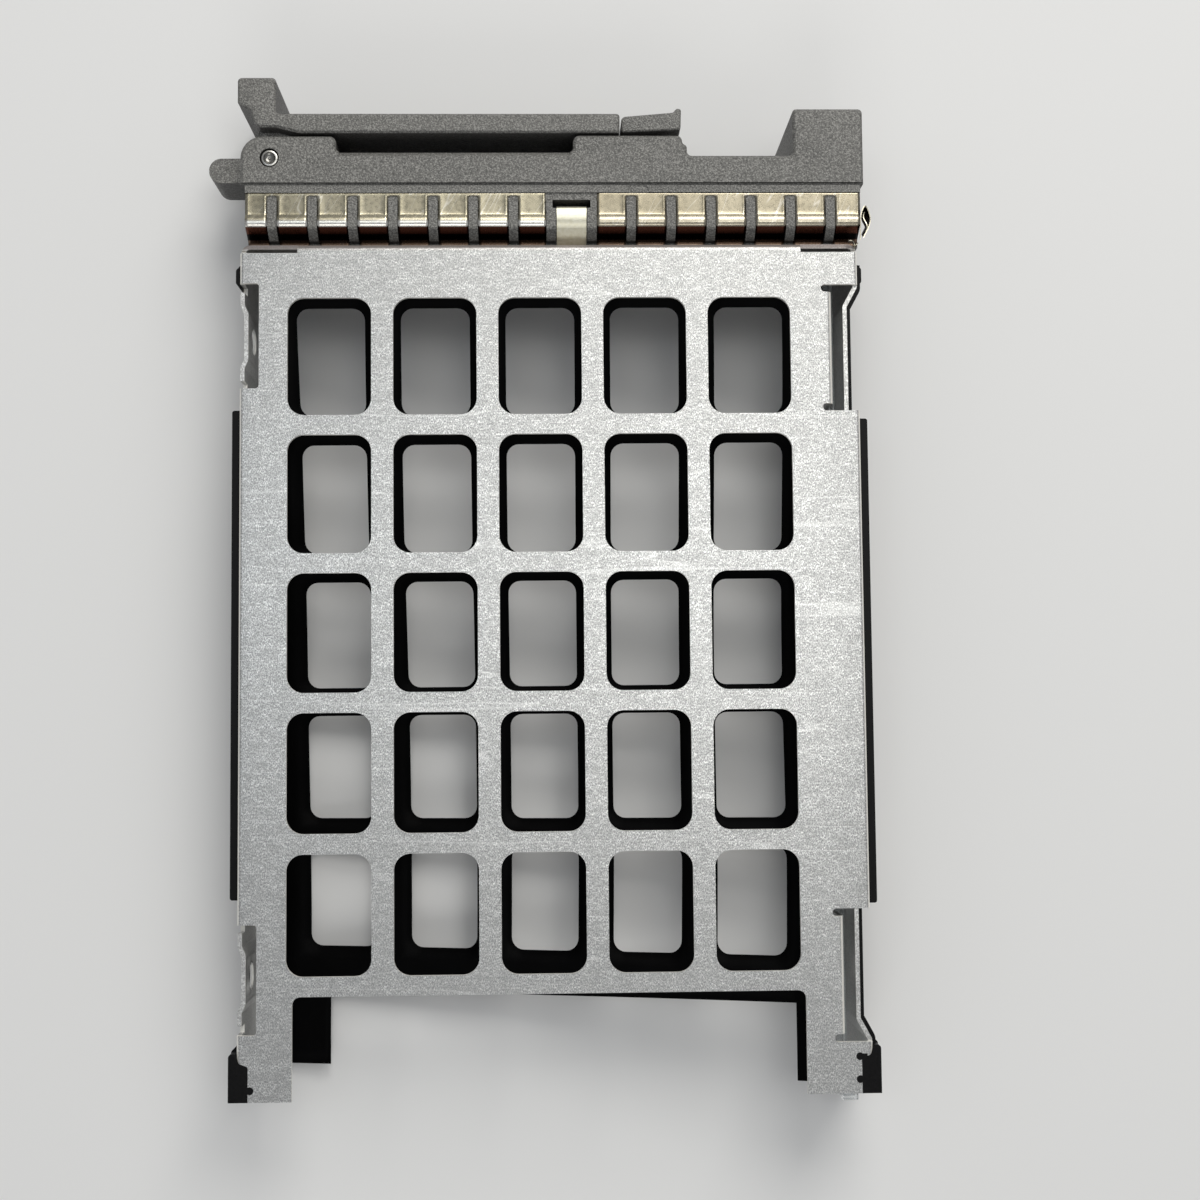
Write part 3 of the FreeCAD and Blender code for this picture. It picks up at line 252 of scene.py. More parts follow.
# finishes: a layer is its colour and its share; roughness and metallic run between two values; a bump is
# its depth and strength; a facing goes from one at Low to nought at High, and a level face is at 1
steelLook = {
    "fine": {"Spot Size": 0.13 * mm, "Stretch": (1.2, 0.65, 1.0), "Detail": 3.0, "Sharpness": 5.0},
    "streaks": {"Spot Size": 0.26 * mm, "Stretch": (0.5, 1.0, 1.0), "Detail": 4.0, "Sharpness": 4.5},
    "mottle": {"Spot Size": 1.1 * mm, "Stretch": (0.6, 1.0, 1.0), "Detail": 5.0, "Sharpness": 4.5},
    "cloud": {"Spot Size": 11 * mm, "Detail": 2.0, "Sharpness": 1.6},
    "marks": {"Spacing": 4 * mm, "Stretch": (0.05, 1.0, 1.0), "Width": 0.008},
    "dark": (0.30, 0.305, 0.305), "light": (1.0, 1.0, 0.97),
    "streakLayer": ((0.30, 0.30, 0.295), 0.5), "mottleLayer": ((0.30, 0.30, 0.295), 0.3),
    "cloudLayer": ((0.46, 0.46, 0.45), 0.2), "markLayer": ((1.0, 1.0, 0.97), 0.25),
    "bareLayer": ((0.60, 0.60, 0.585), 0.7),     # the sheet below the plate
    # sheared edges: the cut steel, painted near-white as a painted highlight along the rims as well
    "cutEdgeAndHighlightLayer": ((0.92, 0.90, 0.83), 0.9),       # sheared edges
    # painted shade over the fold down at the front
    "bendShadeLayer": ((0.16, 0.13, 0.12), 0.85),     # the fold down at the front
    "plateLevel": (15.4 * mm, 15.9 * mm), "wallLevel": (8 * mm, 9 * mm), "frontShadeLevel": (8.1 * mm, 7.5 * mm),
    "rimFacing": {"Low": 0.72, "High": 0.98}, "sawnFacing": {"Low": 0.8, "High": 0.5},
    "metallic": (0.82, 0.15), "roughness": (0.46, 0.3), "bump": (0.012 * mm, 0.6)}


def galvanisedSteel():
    # a spangled plate; bare walls below it; bright where the sheet was cut, which is where a face stands
    # up at the plate's level or lies flat on top of a wall, partly the cut steel and partly a painted
    # highlight; painted shade darkens the fold down at the front
    look = steelLook
    material, tree, shader = newMaterial("galvanisedSteel", {})
    fine = placeGroup(tree, grain, look["fine"])
    colour = toneColour(tree, fine, "Tone", look["dark"], look["light"])
    colour = overColour(tree, colour, placeGroup(tree, grain, look["streaks"]), "Tone", *look["streakLayer"])
    colour = overColour(tree, colour, placeGroup(tree, grain, look["mottle"]), "Tone", *look["mottleLayer"])
    colour = overColour(tree, colour, placeGroup(tree, grain, look["cloud"]), "Tone", *look["cloudLayer"])
    colour = overColour(tree, colour, placeGroup(tree, scratches, look["marks"]), "Mask", *look["markLayer"])
    plate = levelMask(tree, *look["plateLevel"])
    below = levelMask(tree, *look["plateLevel"][::-1])
    colour = overColour(tree, colour, below, "Result", *look["bareLayer"])
    paintedRim = multiplied(tree, plate, "Result", placeGroup(tree, upright, look["rimFacing"]), "Mask")
    walls = multiplied(tree, levelMask(tree, *look["wallLevel"]), "Result", below, "Result")
    sawn = multiplied(tree, walls, "Value", placeGroup(tree, upright, look["sawnFacing"]), "Mask")
    # the cut edges: cut steel, painted near-white and barely metallic as a painted highlight too
    cutEdgeAndHighlight = addNode(tree, "ShaderNodeMath", {"operation": "ADD", "use_clamp": True})
    tree.links.new(paintedRim.outputs["Value"], cutEdgeAndHighlight.inputs[0])
    tree.links.new(sawn.outputs["Value"], cutEdgeAndHighlight.inputs[1])
    colour = overColour(tree, colour, cutEdgeAndHighlight, "Value", *look["cutEdgeAndHighlightLayer"])
    # painted shade darkening the front fold, in place of its lamp highlight and the dark gap before it
    frontShade = levelMask(tree, *look["frontShadeLevel"], axis="Y")
    colour = overColour(tree, colour, frontShade, "Result", *look["bendShadeLayer"])
    wire(tree, colour, "Result", shader, "Base Color")
    spanShader(tree, shader, "Metallic", cutEdgeAndHighlight, "Value", *look["metallic"])
    spanShader(tree, shader, "Roughness", fine, "Tone", *look["roughness"])
    addBump(tree, shader, fine, "Height", *look["bump"])
    return material


castLook = {
    "plain": {"Metallic": 0.0, "Specular IOR Level": 0.5},
    "sand": {"Spot Size": 0.26 * mm, "Detail": 2.5, "Sharpness": 2.2},
    "cloud": {"Spot Size": 7 * mm, "Detail": 2.0, "Sharpness": 1.4},
    # glint specks: a painted highlight on a few sand grains
    "glint": {"Spot Size": 0.16 * mm, "Detail": 1.0, "Sharpness": 9.0}, "glintSpan": (0.93, 1.0),
    "dark": (0.077, 0.076, 0.071), "light": (0.192, 0.188, 0.173),
    "cloudLayer": ((0.077, 0.076, 0.071), 0.14), "glintLayer": ((0.6, 0.59, 0.55), 0.28),
    # painted shade on upright faces
    "sideShadeLayer": ((0.04, 0.038, 0.036), 0.75), "sideShadeFacing": {"Low": 0.3, "High": 0.85},
    "roughness": (0.58, 0.38), "bump": (0.2 * mm, 0.9)}


def sandedPaint():
    # sandy grey paint with a few bright specks painted on as glints, a painted highlight, and painted shade
    # darkening its upright faces
    look = castLook
    material, tree, shader = newMaterial("sandedPaint", look["plain"])
    sand = placeGroup(tree, grain, look["sand"])
    colour = toneColour(tree, sand, "Tone", look["dark"], look["light"])
    colour = overColour(tree, colour, placeGroup(tree, grain, look["cloud"]), "Tone", *look["cloudLayer"])
    # a few specks painted bright as glints, a painted highlight
    paintedHighlight = addNode(tree, "ShaderNodeMapRange", {"interpolation_type": "SMOOTHSTEP"},
                     dict(zip(("From Min", "From Max"), look["glintSpan"])))
    wire(tree, placeGroup(tree, grain, look["glint"]), "Tone", paintedHighlight, "Value")
    colour = overColour(tree, colour, paintedHighlight, "Result", *look["glintLayer"])
    # painted shade: upright faces darkened
    side = placeGroup(tree, upright, look["sideShadeFacing"])
    colour = overColour(tree, colour, side, "Mask", *look["sideShadeLayer"])
    wire(tree, colour, "Result", shader, "Base Color")
    spanShader(tree, shader, "Roughness", sand, "Tone", *look["roughness"])
    addBump(tree, shader, sand, "Height", *look["bump"])
    return material


foilLook = {
    "plain": {"Metallic": 1.0},
    "fine": {"Spot Size": 0.5 * mm, "Detail": 4.0, "Sharpness": 1.6},
    "cloud": {"Spot Size": 6 * mm, "Detail": 2.0, "Sharpness": 1.6},
    "marks": {"Spacing": 1.6 * mm, "Stretch": (1.0, 0.12, 1.0), "Turn": 0.5, "Width": 0.012},
    "dark": (0.33, 0.30, 0.215), "light": (0.50, 0.46, 0.345),
    "fineLayer": ((0.33, 0.30, 0.215), 0.25), "markLayer": ((0.98, 0.96, 0.90), 0.3),
    # carried layers: a painted shade line along each pad's rim, a painted highlight on the ridge, painted
    # brown shade and painted black shade down the drop
    "carried": {"paintedRim": ((0.22, 0.20, 0.12), 0.55), "ridgeHighlight": ((0.98, 0.96, 0.90), 1.0),
                "shade": ((0.095, 0.034, 0.022), 1.0), "blackShade": ((0.004, 0.003, 0.003), 1.0)},
    "roughness": (0.2, 0.36), "bump": (0.012 * mm, 0.5)}


def carriedLayers(tree, colour, layers):
    # each colour is laid over by a value of the same name that the mesh carries at its points
    for name, layer in layers.items():
        carried = addNode(tree, "ShaderNodeAttribute", {"attribute_type": "GEOMETRY", "attribute_name": name})
        colour = overColour(tree, colour, carried, "Fac", *layer)
    return colour


def platedFoil():
    # clouded plating with fine scratches; its mesh says where it takes a painted shade line round the pads, a
    # painted highlight on the ridge, and painted brown and black shade down the drop, with a fainter
    # highlight and a darker tone on worn strips
    look = foilLook
    material, tree, shader = newMaterial("platedFoil", look["plain"])
    fine = placeGroup(tree, grain, look["fine"])
    cloud = placeGroup(tree, grain, look["cloud"])
    colour = toneColour(tree, cloud, "Tone", look["dark"], look["light"])
    colour = overColour(tree, colour, fine, "Tone", *look["fineLayer"])
    colour = overColour(tree, colour, placeGroup(tree, scratches, look["marks"]), "Mask", *look["markLayer"])
    colour = carriedLayers(tree, colour, look["carried"])
    wire(tree, colour, "Result", shader, "Base Color")
    spanShader(tree, shader, "Roughness", fine, "Tone", *look["roughness"])
    addBump(tree, shader, fine, "Height", *look["bump"])
    return material


clipLook = {
    "plain": {"Metallic": 1.0}, "fine": {"Spot Size": 0.4 * mm, "Detail": 3.0, "Sharpness": 1.5},
    "dark": (0.74, 0.70, 0.52), "light": (0.93, 0.91, 0.78), "roughness": (0.42, 0.5)}
plasticLook = {
    "plain": {"Metallic": 0.0, "Specular IOR Level": 0.13},
    "fine": {"Spot Size": 0.22 * mm, "Detail": 3.0, "Sharpness": 1.8},
    "dark": (0.0015, 0.0015, 0.0017), "light": (0.006, 0.0058, 0.006),
    "roughness": (0.36, 0.5), "bump": (0.03 * mm, 0.5)}
filmLook = {
    "plain": {"Metallic": 0.0, "Specular IOR Level": 0.04},
    "fine": {"Spot Size": 0.15 * mm, "Detail": 2.0, "Sharpness": 1.5},
    "cloud": {"Spot Size": 5 * mm, "Detail": 3.0, "Sharpness": 1.6},
    "dark": (0.0006, 0.0006, 0.0007), "light": (0.0018, 0.0018, 0.002),
    "roughness": (0.5, 0.62), "bump": (0.008 * mm, 0.4)}
tapeLook = {
    "plain": {"Metallic": 0.0, "Specular IOR Level": 0.2},
    "fine": {"Spot Size": 0.18 * mm, "Detail": 2.0, "Sharpness": 2.5},
    "dark": (0.008, 0.008, 0.008), "light": (0.03, 0.03, 0.03),
    "roughness": (0.85, 0.95), "bump": (0.05 * mm, 0.8)}
turnedLook = {
    "plain": {"Metallic": 1.0},
    "fine": {"Spot Size": 0.12 * mm, "Stretch": (1.0, 1.0, 0.2), "Detail": 2.0, "Sharpness": 1.6},
    "dark": (0.55, 0.54, 0.50), "light": (0.82, 0.80, 0.75), "carried": {"pinShade": ((0.012, 0.011, 0.01), 1.0)},
    "roughness": (0.22, 0.36), "bump": (0.006 * mm, 0.4)}
wireLook = {
    "plain": {"Metallic": 1.0}, "fine": {"Spot Size": 0.1 * mm, "Detail": 2.0, "Sharpness": 1.6},
    "dark": (0.34, 0.34, 0.33), "light": (0.55, 0.55, 0.53), "roughness": (0.24, 0.38)}
pipeLook = {
    "plain": {"Metallic": 0.0, "IOR": 1.49, "Transmission Weight": 0.9},
    "fine": {"Spot Size": 0.6 * mm, "Detail": 2.0, "Sharpness": 1.2},
    "dark": (0.86, 0.89, 0.89), "light": (0.96, 0.97, 0.97), "roughness": (0.04, 0.14)}


def grainedFinish(name, look):
    # a fine grain gives the roughness, the relief where the look has one, and the tone where no cloud does
    material, tree, shader = newMaterial(name, look["plain"])
    fine = placeGroup(tree, grain, look["fine"])
    tone = placeGroup(tree, grain, look["cloud"]) if "cloud" in look else fine
    colour = toneColour(tree, tone, "Tone", look["dark"], look["light"])
    colour = carriedLayers(tree, colour, look.get("carried", {}))
    wire(tree, colour, "Result", shader, "Base Color")
    spanShader(tree, shader, "Roughness", fine, "Tone", *look["roughness"])
    if "bump" in look:
        addBump(tree, shader, fine, "Height", *look["bump"])
    return material


finish = {"steel": galvanisedSteel(), "casting": sandedPaint(), "gasket": platedFoil(),
          "clip": grainedFinish("brightClip", clipLook), "rail": grainedFinish("blackPlastic", plasticLook),
          "film": grainedFinish("blackFilm", filmLook), "tape": grainedFinish("foamTape", tapeLook),
          "pin": grainedFinish("turnedSteel", turnedLook), "spring": grainedFinish("springWire", wireLook),
          "pipe": grainedFinish("clearPlastic", pipeLook)}
for part in frame["record"]["subparts"]:
    slots = frame["nodes"][part["node"]].data.materials
    slots.clear()
    slots.append(finish[part["material_slot"]])
print("finishes made:", len(finish))


# meshes: faces that turn by fewer degrees than sharp look smooth, a gap between lines may be longer than
# its step by the slack's share, and a hole's rounded corner has cornerParts parts along each side
newMesh = {"sharp": 40, "slack": 0.001, "cornerParts": 3}


def smoothFaces(mesh, angle):
    mesh.polygons.foreach_set("use_smooth", np.ones(len(mesh.polygons), bool))
    mesh.set_sharp_from_angle(angle=math.radians(angle))


def settle(piece, body, replaced):
    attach(piece, body)
    if replaced:
        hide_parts(*replaced)


def placePiece(name, mesh, slotName, angle):
    # an object at the origin with its finish, sharp only where its faces turn by more than the angle
    mesh.materials.append(finish[slotName])
    piece = bpy.data.objects.new(name, mesh)
    bpy.context.scene.collection.objects.link(piece)
    smoothFaces(mesh, angle)
    return piece


def meshPiece(name, vertices, faces, slotName, body, replaced=()):
    mesh = bpy.data.meshes.new(name)
    mesh.from_pydata(vertices.tolist(), [], faces)
    mesh.validate()
    piece = placePiece(name, mesh, slotName, newMesh["sharp"])
    settle(piece, body, replaced)
    return piece


def carry(piece, name, values):
    # a value at each point of the mesh, for its finish to read
    layer = piece.data.attributes.new(name, "FLOAT", "POINT")
    layer.data.foreach_set("value", np.asarray(values, dtype=np.float32))


def thicken(piece, thickness):
    shell = piece.modifiers.new("thickness", "SOLIDIFY")
    shell.thickness = thickness
    shell.offset = 0.0
    shell.use_even_offset = True


def gridLines(keys, step):
    # the keys in order, with each gap split into equal parts no longer than the step
    keys = np.unique(np.round(keys, 8))
    counts = np.ceil((keys[1:] - keys[:-1]) / step - newMesh["slack"]).astype(int)
    parts = [np.linspace(low, high, count + 1)[:-1] for low, high, count in zip(keys, keys[1:], counts)]
    return np.concatenate(parts + [keys[-1:]])


def cornerLines(middle, width, corner):
    # the lines of a hole's two edges and of its rounded corners
    inward = np.linspace(0.0, corner, newMesh["cornerParts"] + 1)
    return np.concatenate([middle - width / 2 + inward, middle + width / 2 - inward])


def cutSheet(across, along, holes):
    # a grid of quads over the lines without those inside the holes: x, y, width, depth, corner radius;
    # points of a hole's edge near a corner move onto its arc, whose angle grows evenly along the edge
    x, y = [side.ravel() for side in np.meshgrid(across, along, indexing="ij")]
    count = len(along)
    first = (np.arange(len(across) - 1)[:, None] * count + np.arange(count - 1)[None, :]).ravel()
    quads = np.stack([first, first + count, first + count + 1, first + 1], axis=1)
    middleX, middleY = x[quads].mean(axis=1), y[quads].mean(axis=1)
    solid = np.ones(len(quads), bool)
    for holeX, holeY, width, depth, corner in holes:
        solid &= (np.abs(middleX - holeX) > width / 2) | (np.abs(middleY - holeY) > depth / 2)
        inX, inY = np.abs(x - holeX) - width / 2 + corner, np.abs(y - holeY) - depth / 2 + corner
        near = (np.minimum(inX, inY) > -hair) & (np.maximum(inX, inY) < corner + hair) & (corner > 0)
        side = near & (np.abs(inX - corner) < hair)
        end = near & (np.abs(inY - corner) < hair) & ~side
        angle = np.where(side, inY, 2 * corner - inX) / max(corner, hair) * math.pi / 4
        moved = side | end
        x = np.where(moved, holeX + np.sign(x - holeX) * (width / 2 - corner + corner * np.cos(angle)), x)
        y = np.where(moved, holeY + np.sign(y - holeY) * (depth / 2 - corner + corner * np.sin(angle)), y)
    used, quads = np.unique(quads[solid], return_inverse=True)
    return x[used], y[used], quads.reshape(-1, 4)


def cutCorners(points, rounds):
    # each round puts two points in place of every corner, a quarter of the way along its sides
    for _ in range(rounds):
        near = points[:-1] * 0.75 + points[1:] * 0.25
        far = points[:-1] * 0.25 + points[1:] * 0.75
        inner = np.stack([near, far], axis=1).reshape(-1, points.shape[1])
        points = np.vstack([points[:1], inner, points[-1:]])
    return points


def gridFaces(rows, columns):
    # quads of a grid of rows by columns, closed round its columns
    row, column = [side.ravel() for side in np.meshgrid(range(rows - 1), range(columns), indexing="ij")]
    beside = (column + 1) % columns
    return np.stack([row * columns + column, row * columns + beside, (row + 1) * columns + beside,
                     (row + 1) * columns + column], axis=1)


def cappedFaces(rows, columns):
    # the closed grid's quads and one face over each end
    last = rows * columns
    ends = [list(range(columns))[::-1], list(range(last - columns, last))]
    return gridFaces(rows, columns).tolist() + ends


def smoothStep(value, low, high):
    # nought below low, one above high, and 3t2 - 2t3 of the way between
    part = np.clip((value - low) / (high - low), 0.0, 1.0)
    return part * part * (3 - 2 * part)


def unitRows(rows):
    # each row divided by its own length
    return rows / np.linalg.norm(rows, axis=1)[:, None]


# edges of the folded and cast pieces: two angles in degrees, and each node's radius
edgeShape = {"sharp": 35, "segments": 2, "merge": 0.002 * mm, "flat": 0.4,
             "radius": {"cage": 0.12 * mm, "bezel": 0.12 * mm, "ejector_lever": 0.14 * mm,
                        "release_button": 0.12 * mm, "right_rail": 0.1 * mm, "left_rail": 0.1 * mm}}


def softened(node, name, slotName, body):
    # the node's own mesh, merged and cleared of flat splits, with every sharp edge rounded
    shape = edgeShape
    copy = bmesh.new()
    copy.from_mesh(frame["nodes"][node].data)
    bmesh.ops.remove_doubles(copy, verts=copy.verts, dist=shape["merge"])
    bmesh.ops.dissolve_limit(copy, verts=copy.verts, edges=copy.edges,
                             angle_limit=math.radians(shape["flat"]))
    bmesh.ops.recalc_face_normals(copy, faces=copy.faces)
    mesh = bpy.data.meshes.new(name)
    copy.to_mesh(mesh)
    copy.free()
    piece = placePiece(name, mesh, slotName, shape["sharp"])
    rounding = piece.modifiers.new("rounding", "BEVEL")
    rounding.width = shape["radius"][node]
    rounding.segments = shape["segments"]
    rounding.limit_method = "ANGLE"
    rounding.angle_limit = math.radians(shape["sharp"])
    rounding.use_clamp_overlap = True
    rounding.harden_normals = True
    settle(piece, body, (node,))


softened("cage", "trayShell", "steel", "frame")
softened("bezel", "bezelCasting", "casting", "frame")
softened("ejector_lever", "leverCasting", "casting", "lever")
softened("release_button", "buttonCasting", "casting", "button")
softened("right_rail", "railLeverSide", "rail", "frame")
softened("left_rail", "railPipeSide", "rail", "frame")
print("edges rounded:", len(edgeShape["radius"]), "pieces")


# insulating film: a sag, slide, tuck or creep is where along y it starts and ends, and how far it goes
filmShape = {"thickness": 0.2 * mm, "grid": (5, 5), "window": (8.35 * mm, 12.97 * mm), "corner": 1.5 * mm,
             "pitch": (12.68 * mm, 16.4 * mm), "first": (1.3 * mm, 21.335 * mm),   # middle column, front row
             "gap": (-29.3 * mm, 28.55 * mm, 98.51 * mm, 40 * mm),                 # left, right, front, depth
             "step": 2.0 * mm,
             "leftSag": (14 * mm, 76 * mm, 8.6 * mm), "leftLift": (46 * mm, 84 * mm, 4.3 * mm),
             "rightSag": (10 * mm, 75 * mm, 9.3 * mm), "rightDrop": (36 * mm, 78 * mm, 5.1 * mm),
             "slide": (40 * mm, 74 * mm, 0.13 * mm), "pull": (66 * mm, 92 * mm, 0.3 * mm),
             "tuck": (9 * mm, 34 * mm, 0.5 * mm), "untuck": (40 * mm, 72 * mm, 0.72 * mm),
             "tuckSide": (0.84, 0.94),                                             # shares of the width
             "creep": (82 * mm, 91 * mm, 0.33 * mm), "rest": (94.5 * mm, 98 * mm),
             "curl": (80 * mm, 98 * mm, 2.6 * mm), "curlIn": 0.6 * mm}


def hangingFilm():
    # a flat sheet with its windows cut, then lowered: each side edge sags along y by smooth steps, and the
    # depth between them runs evenly from side to side; the slack also slides the sheet a little to the
    # left, its right edge tucks inwards, its last row creeps forwards, and its rear left corner curls up
    shape = filmShape
    low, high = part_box("insulator_film")
    width, depth = shape["window"]
    corner = shape["corner"]
    columns = shape["first"][0] + (np.arange(shape["grid"][0]) - shape["grid"][0] // 2) * shape["pitch"][0]
    rows = shape["first"][1] + np.arange(shape["grid"][1]) * shape["pitch"][1]
    gapLeft, gapRight, gapFront, gapDepth = shape["gap"]
    holes = [(x, y, width, depth, corner) for x in columns for y in rows]
    holes.append(((gapLeft + gapRight) / 2, gapFront + gapDepth / 2, gapRight - gapLeft, gapDepth, 0.0))
    across = np.concatenate([[low.x, high.x, gapLeft, gapRight]]
                            + [cornerLines(x, width, corner) for x in columns])
    along = np.concatenate([[low.y, high.y, gapFront]] + [cornerLines(y, depth, corner) for y in rows])
    x, y, quads = cutSheet(gridLines(across, shape["step"]), gridLines(along, shape["step"]), holes)

    def slack(name):
        start, end, amount = shape[name]
        return amount * smoothStep(y, start, end)

    share = (x - low.x) / (high.x - low.x)
    leftDepth = slack("leftSag") - slack("leftLift")
    rightDepth = slack("rightSag") + slack("rightDrop")
    curl = smoothStep(y, *shape["curl"][:2]) * (1 - share) ** 2
    hang = leftDepth * (1 - share) + rightDepth * share - curl * shape["curl"][2]
    z = high.z - shape["thickness"] / 2 - hang
    pull = slack("pull") * np.clip(share * 2 - 1, 0.0, 1.0)
    rest = 1 - smoothStep(y, *shape["rest"])
    tuck = (slack("tuck") - slack("untuck")) * smoothStep(share, *shape["tuckSide"]) * rest
    x = x - slack("slide") - pull - tuck + curl * shape["curlIn"]
    y = y - pull - slack("creep") * rest + curl * shape["curlIn"]
    vertices = np.stack([x, y, z], axis=1)
    piece = meshPiece("hangingFilm", vertices, quads.tolist(), "film", "frame", ("insulator_film",))
    thicken(piece, shape["thickness"])


hangingFilm()
print("film hung")


# spring finger strips: y and z of the bent line in millimetres; each band of painted highlight and painted
# shade starts and is full at two places along its length, and a strip's gaps start at its first one and go
# left
gasketShape = {"line": ((1.08, 16.835), (2.6, 16.84), (3.7, 16.82), (4.0, 16.98), (4.35, 17.13),
                        (4.75, 17.12), (5.1, 16.98), (5.5, 16.3), (6.35, 14.75), (6.65, 14.45), (7.1, 14.42)),
               "thickness": 0.11 * mm, "rounds": 3, "step": (0.6 * mm, 0.4 * mm),
               "bend": (2.5 * mm, 0.1 * mm),             # finer lines from here on, and their step
               "gap": 1.2 * mm, "root": 0.3 * mm, "corner": 0.3 * mm, "slot": 20 * mm,
               "coin": 0.34 * mm, "coinFront": 0.17 * mm, "coinRear": 2.72 * mm,
               "coinEdge": 0.12 * mm, "coinDepth": 0.02 * mm,
               # the ridge span takes the painted highlight, at this share
               "ridgeHighlight": (3.3 * mm, 3.75 * mm), "ridgeHighlightShare": 0.85,
               # on worn strips the ridge highlight is fainter, and the whole strip is darker by this share of
               # the brown
               "wornRidgeHighlight": (2.75 * mm, 3.3 * mm), "wornHighlightShare": 0.1, "wornDarker": 0.14,
               # spans of painted brown shade and painted black shade down the drop; the tail takes less
               "brownShade": (4.15 * mm, 4.3 * mm), "black": (5.3 * mm, 5.55 * mm),
               "tail": (6.35 * mm, 6.6 * mm), "tailFade": 0.25,
               "pitch": 4.85 * mm, "leftGaps": (-9.9 * mm, 6), "rightGaps": (33.5 * mm, 7)}  # first, how many


def fingerGasket(node, name, gapRow, under, worn):
    # a strip over x and the length s along its bent line; slots part its fingers, each pad is coined a
    # little deeper inside a rim, and the underside strip is the top one mirrored about the bezel's middle
    shape = gasketShape
    low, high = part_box(node)
    gap, root, corner, coin, coinEdge = [shape[key] for key in ("gap", "root", "corner", "coin", "coinEdge")]
    coinFront, coinRear = shape["coinFront"], shape["coinRear"]
    gaps = gapRow[0] - np.arange(gapRow[1]) * shape["pitch"]
    line = cutCorners(np.array(shape["line"]) * mm, shape["rounds"])
    length = np.concatenate([[0.0], np.cumsum(np.hypot(*np.diff(line, axis=0).T))])
    slots = [(middle, root + shape["slot"] / 2, gap, shape["slot"], corner) for middle in gaps]
    fingerLow = np.concatenate([[low.x], gaps[::-1] + gap / 2])
    fingerHigh = np.concatenate([gaps[::-1] - gap / 2, [high.x]])
    slope = np.array([0.0, 0.5, 1.0]) * coinEdge
    coinLines = [(fingerLow[:, None] + coin + slope).ravel(), (fingerHigh[:, None] - coin - slope).ravel()]
    across = np.concatenate([[low.x, high.x], *coinLines]
                            + [cornerLines(middle, gap, corner) for middle in gaps])
    along = np.concatenate([[0.0, length[-1]], coinFront + slope, coinRear - slope,
                            root + np.linspace(0, corner, newMesh["cornerParts"] + 1),
                            np.arange(shape["bend"][0], length[-1], shape["bend"][1])])
    x, s, quads = cutSheet(gridLines(across, shape["step"][0]), gridLines(along, shape["step"][1]), slots)
    finger = np.clip(np.searchsorted(fingerLow, x + hair, side="right") - 1, 0, len(fingerLow) - 1)
    inside = np.minimum(x - fingerLow[finger], fingerHigh[finger] - x) - coin
    sunk = np.clip(np.minimum.reduce([inside, s - coinFront, coinRear - s]) / coinEdge, 0, 1)
    y = np.interp(s, length, line[:, 0])
    z = np.interp(s, length, line[:, 1]) - shape["coinDepth"] * sunk
    if under:
        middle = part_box("bezel")
        z = middle[0].z + middle[1].z - z
        quads = quads[:, ::-1]
    piece = meshPiece(name, np.stack([x, y, z], axis=1), quads.tolist(), "gasket", "frame", (node,))
    thicken(piece, shape["thickness"])
    ridgeHighlight = shape["wornRidgeHighlight" if worn else "ridgeHighlight"]
    tone = shape["wornHighlightShare" if worn else "ridgeHighlightShare"]
    least = shape["wornDarker"] if worn else 0.0
    tail = smoothStep(s, *shape["tail"])
    # painted shade line along each pad's coined rim
    carry(piece, "paintedRim", 1 - np.abs(2 * sunk - 1))
    # painted highlight along the ridge, none on the tail
    carry(piece, "ridgeHighlight", smoothStep(s, *ridgeHighlight) * (1 - tail) * tone)
    # painted brown shade down the steep drop, a quarter less on the tail; worn strips are darker all over by
    # a small share
    carry(piece, "shade", np.maximum(smoothStep(s, *shape["brownShade"]) * (1 - shape["tailFade"] * tail), least))
    # painted black shade lower down the drop, none on the tail
    carry(piece, "blackShade", smoothStep(s, *shape["black"]) * (1 - tail))


fingerGasket("gasket_left", "fingerStripLeft", gasketShape["leftGaps"], False, True)
fingerGasket("gasket_right", "fingerStripRight", gasketShape["rightGaps"], False, False)
fingerGasket("gasket_under_left", "fingerStripUnderLeft", gasketShape["leftGaps"], True, True)
fingerGasket("gasket_under_right", "fingerStripUnderRight", gasketShape["rightGaps"], True, False)
print("finger strips bent")


# torn end of the left strip: a path is x and y in millimetres, dark is how much painted shade its sides take,
# and lean is how far its foot moves towards the middle of the path
# the last two are the share of painted black shade on the sides and of painted highlight on the top
tornFoil = {"thickness": 0.1 * mm, "lip": 0.02 * mm, "rounds": 3, "wave": (0.12 * mm, 7.0), "black": 0.75,
            "paintedHighlight": 0.1}  # the wave is its height and how far it turns along a ribbon
tornStrips = [
    {"name": "tornLeaf", "top": 16.95 * mm, "height": 1.5 * mm, "lean": 0.42, "dark": 1.0,
     "path": ((-37.75, 7.0), (-37.78, 5.7), (-37.82, 4.3), (-37.98, 3.4), (-38.32, 2.75), (-38.62, 2.8),
              (-38.95, 3.7), (-39.08, 4.4), (-38.9, 5.2), (-38.55, 5.85), (-38.1, 6.75))},
    {"name": "tornTongue", "top": 16.9 * mm, "height": 1.1 * mm, "lean": 0.1, "dark": 1.0,
     "path": ((-38.62, 5.6), (-38.62, 5.2), (-38.4, 4.65), (-38.2, 4.2), (-38.22, 3.75), (-38.36, 3.5))},
    {"name": "tornScrap", "top": 16.75 * mm, "height": 0.5 * mm, "lean": 0.05, "dark": 0.5,
     "path": ((-36.3, 7.02), (-36.75, 7.0), (-37.02, 7.2), (-37.08, 7.6), (-37.0, 7.95))},
    {"name": "tornBarb", "top": 16.8 * mm, "height": 0.35 * mm, "lean": 0.05, "dark": 0.0,
     "path": ((-37.05, 7.6), (-37.2, 7.55), (-37.48, 7.3))}]


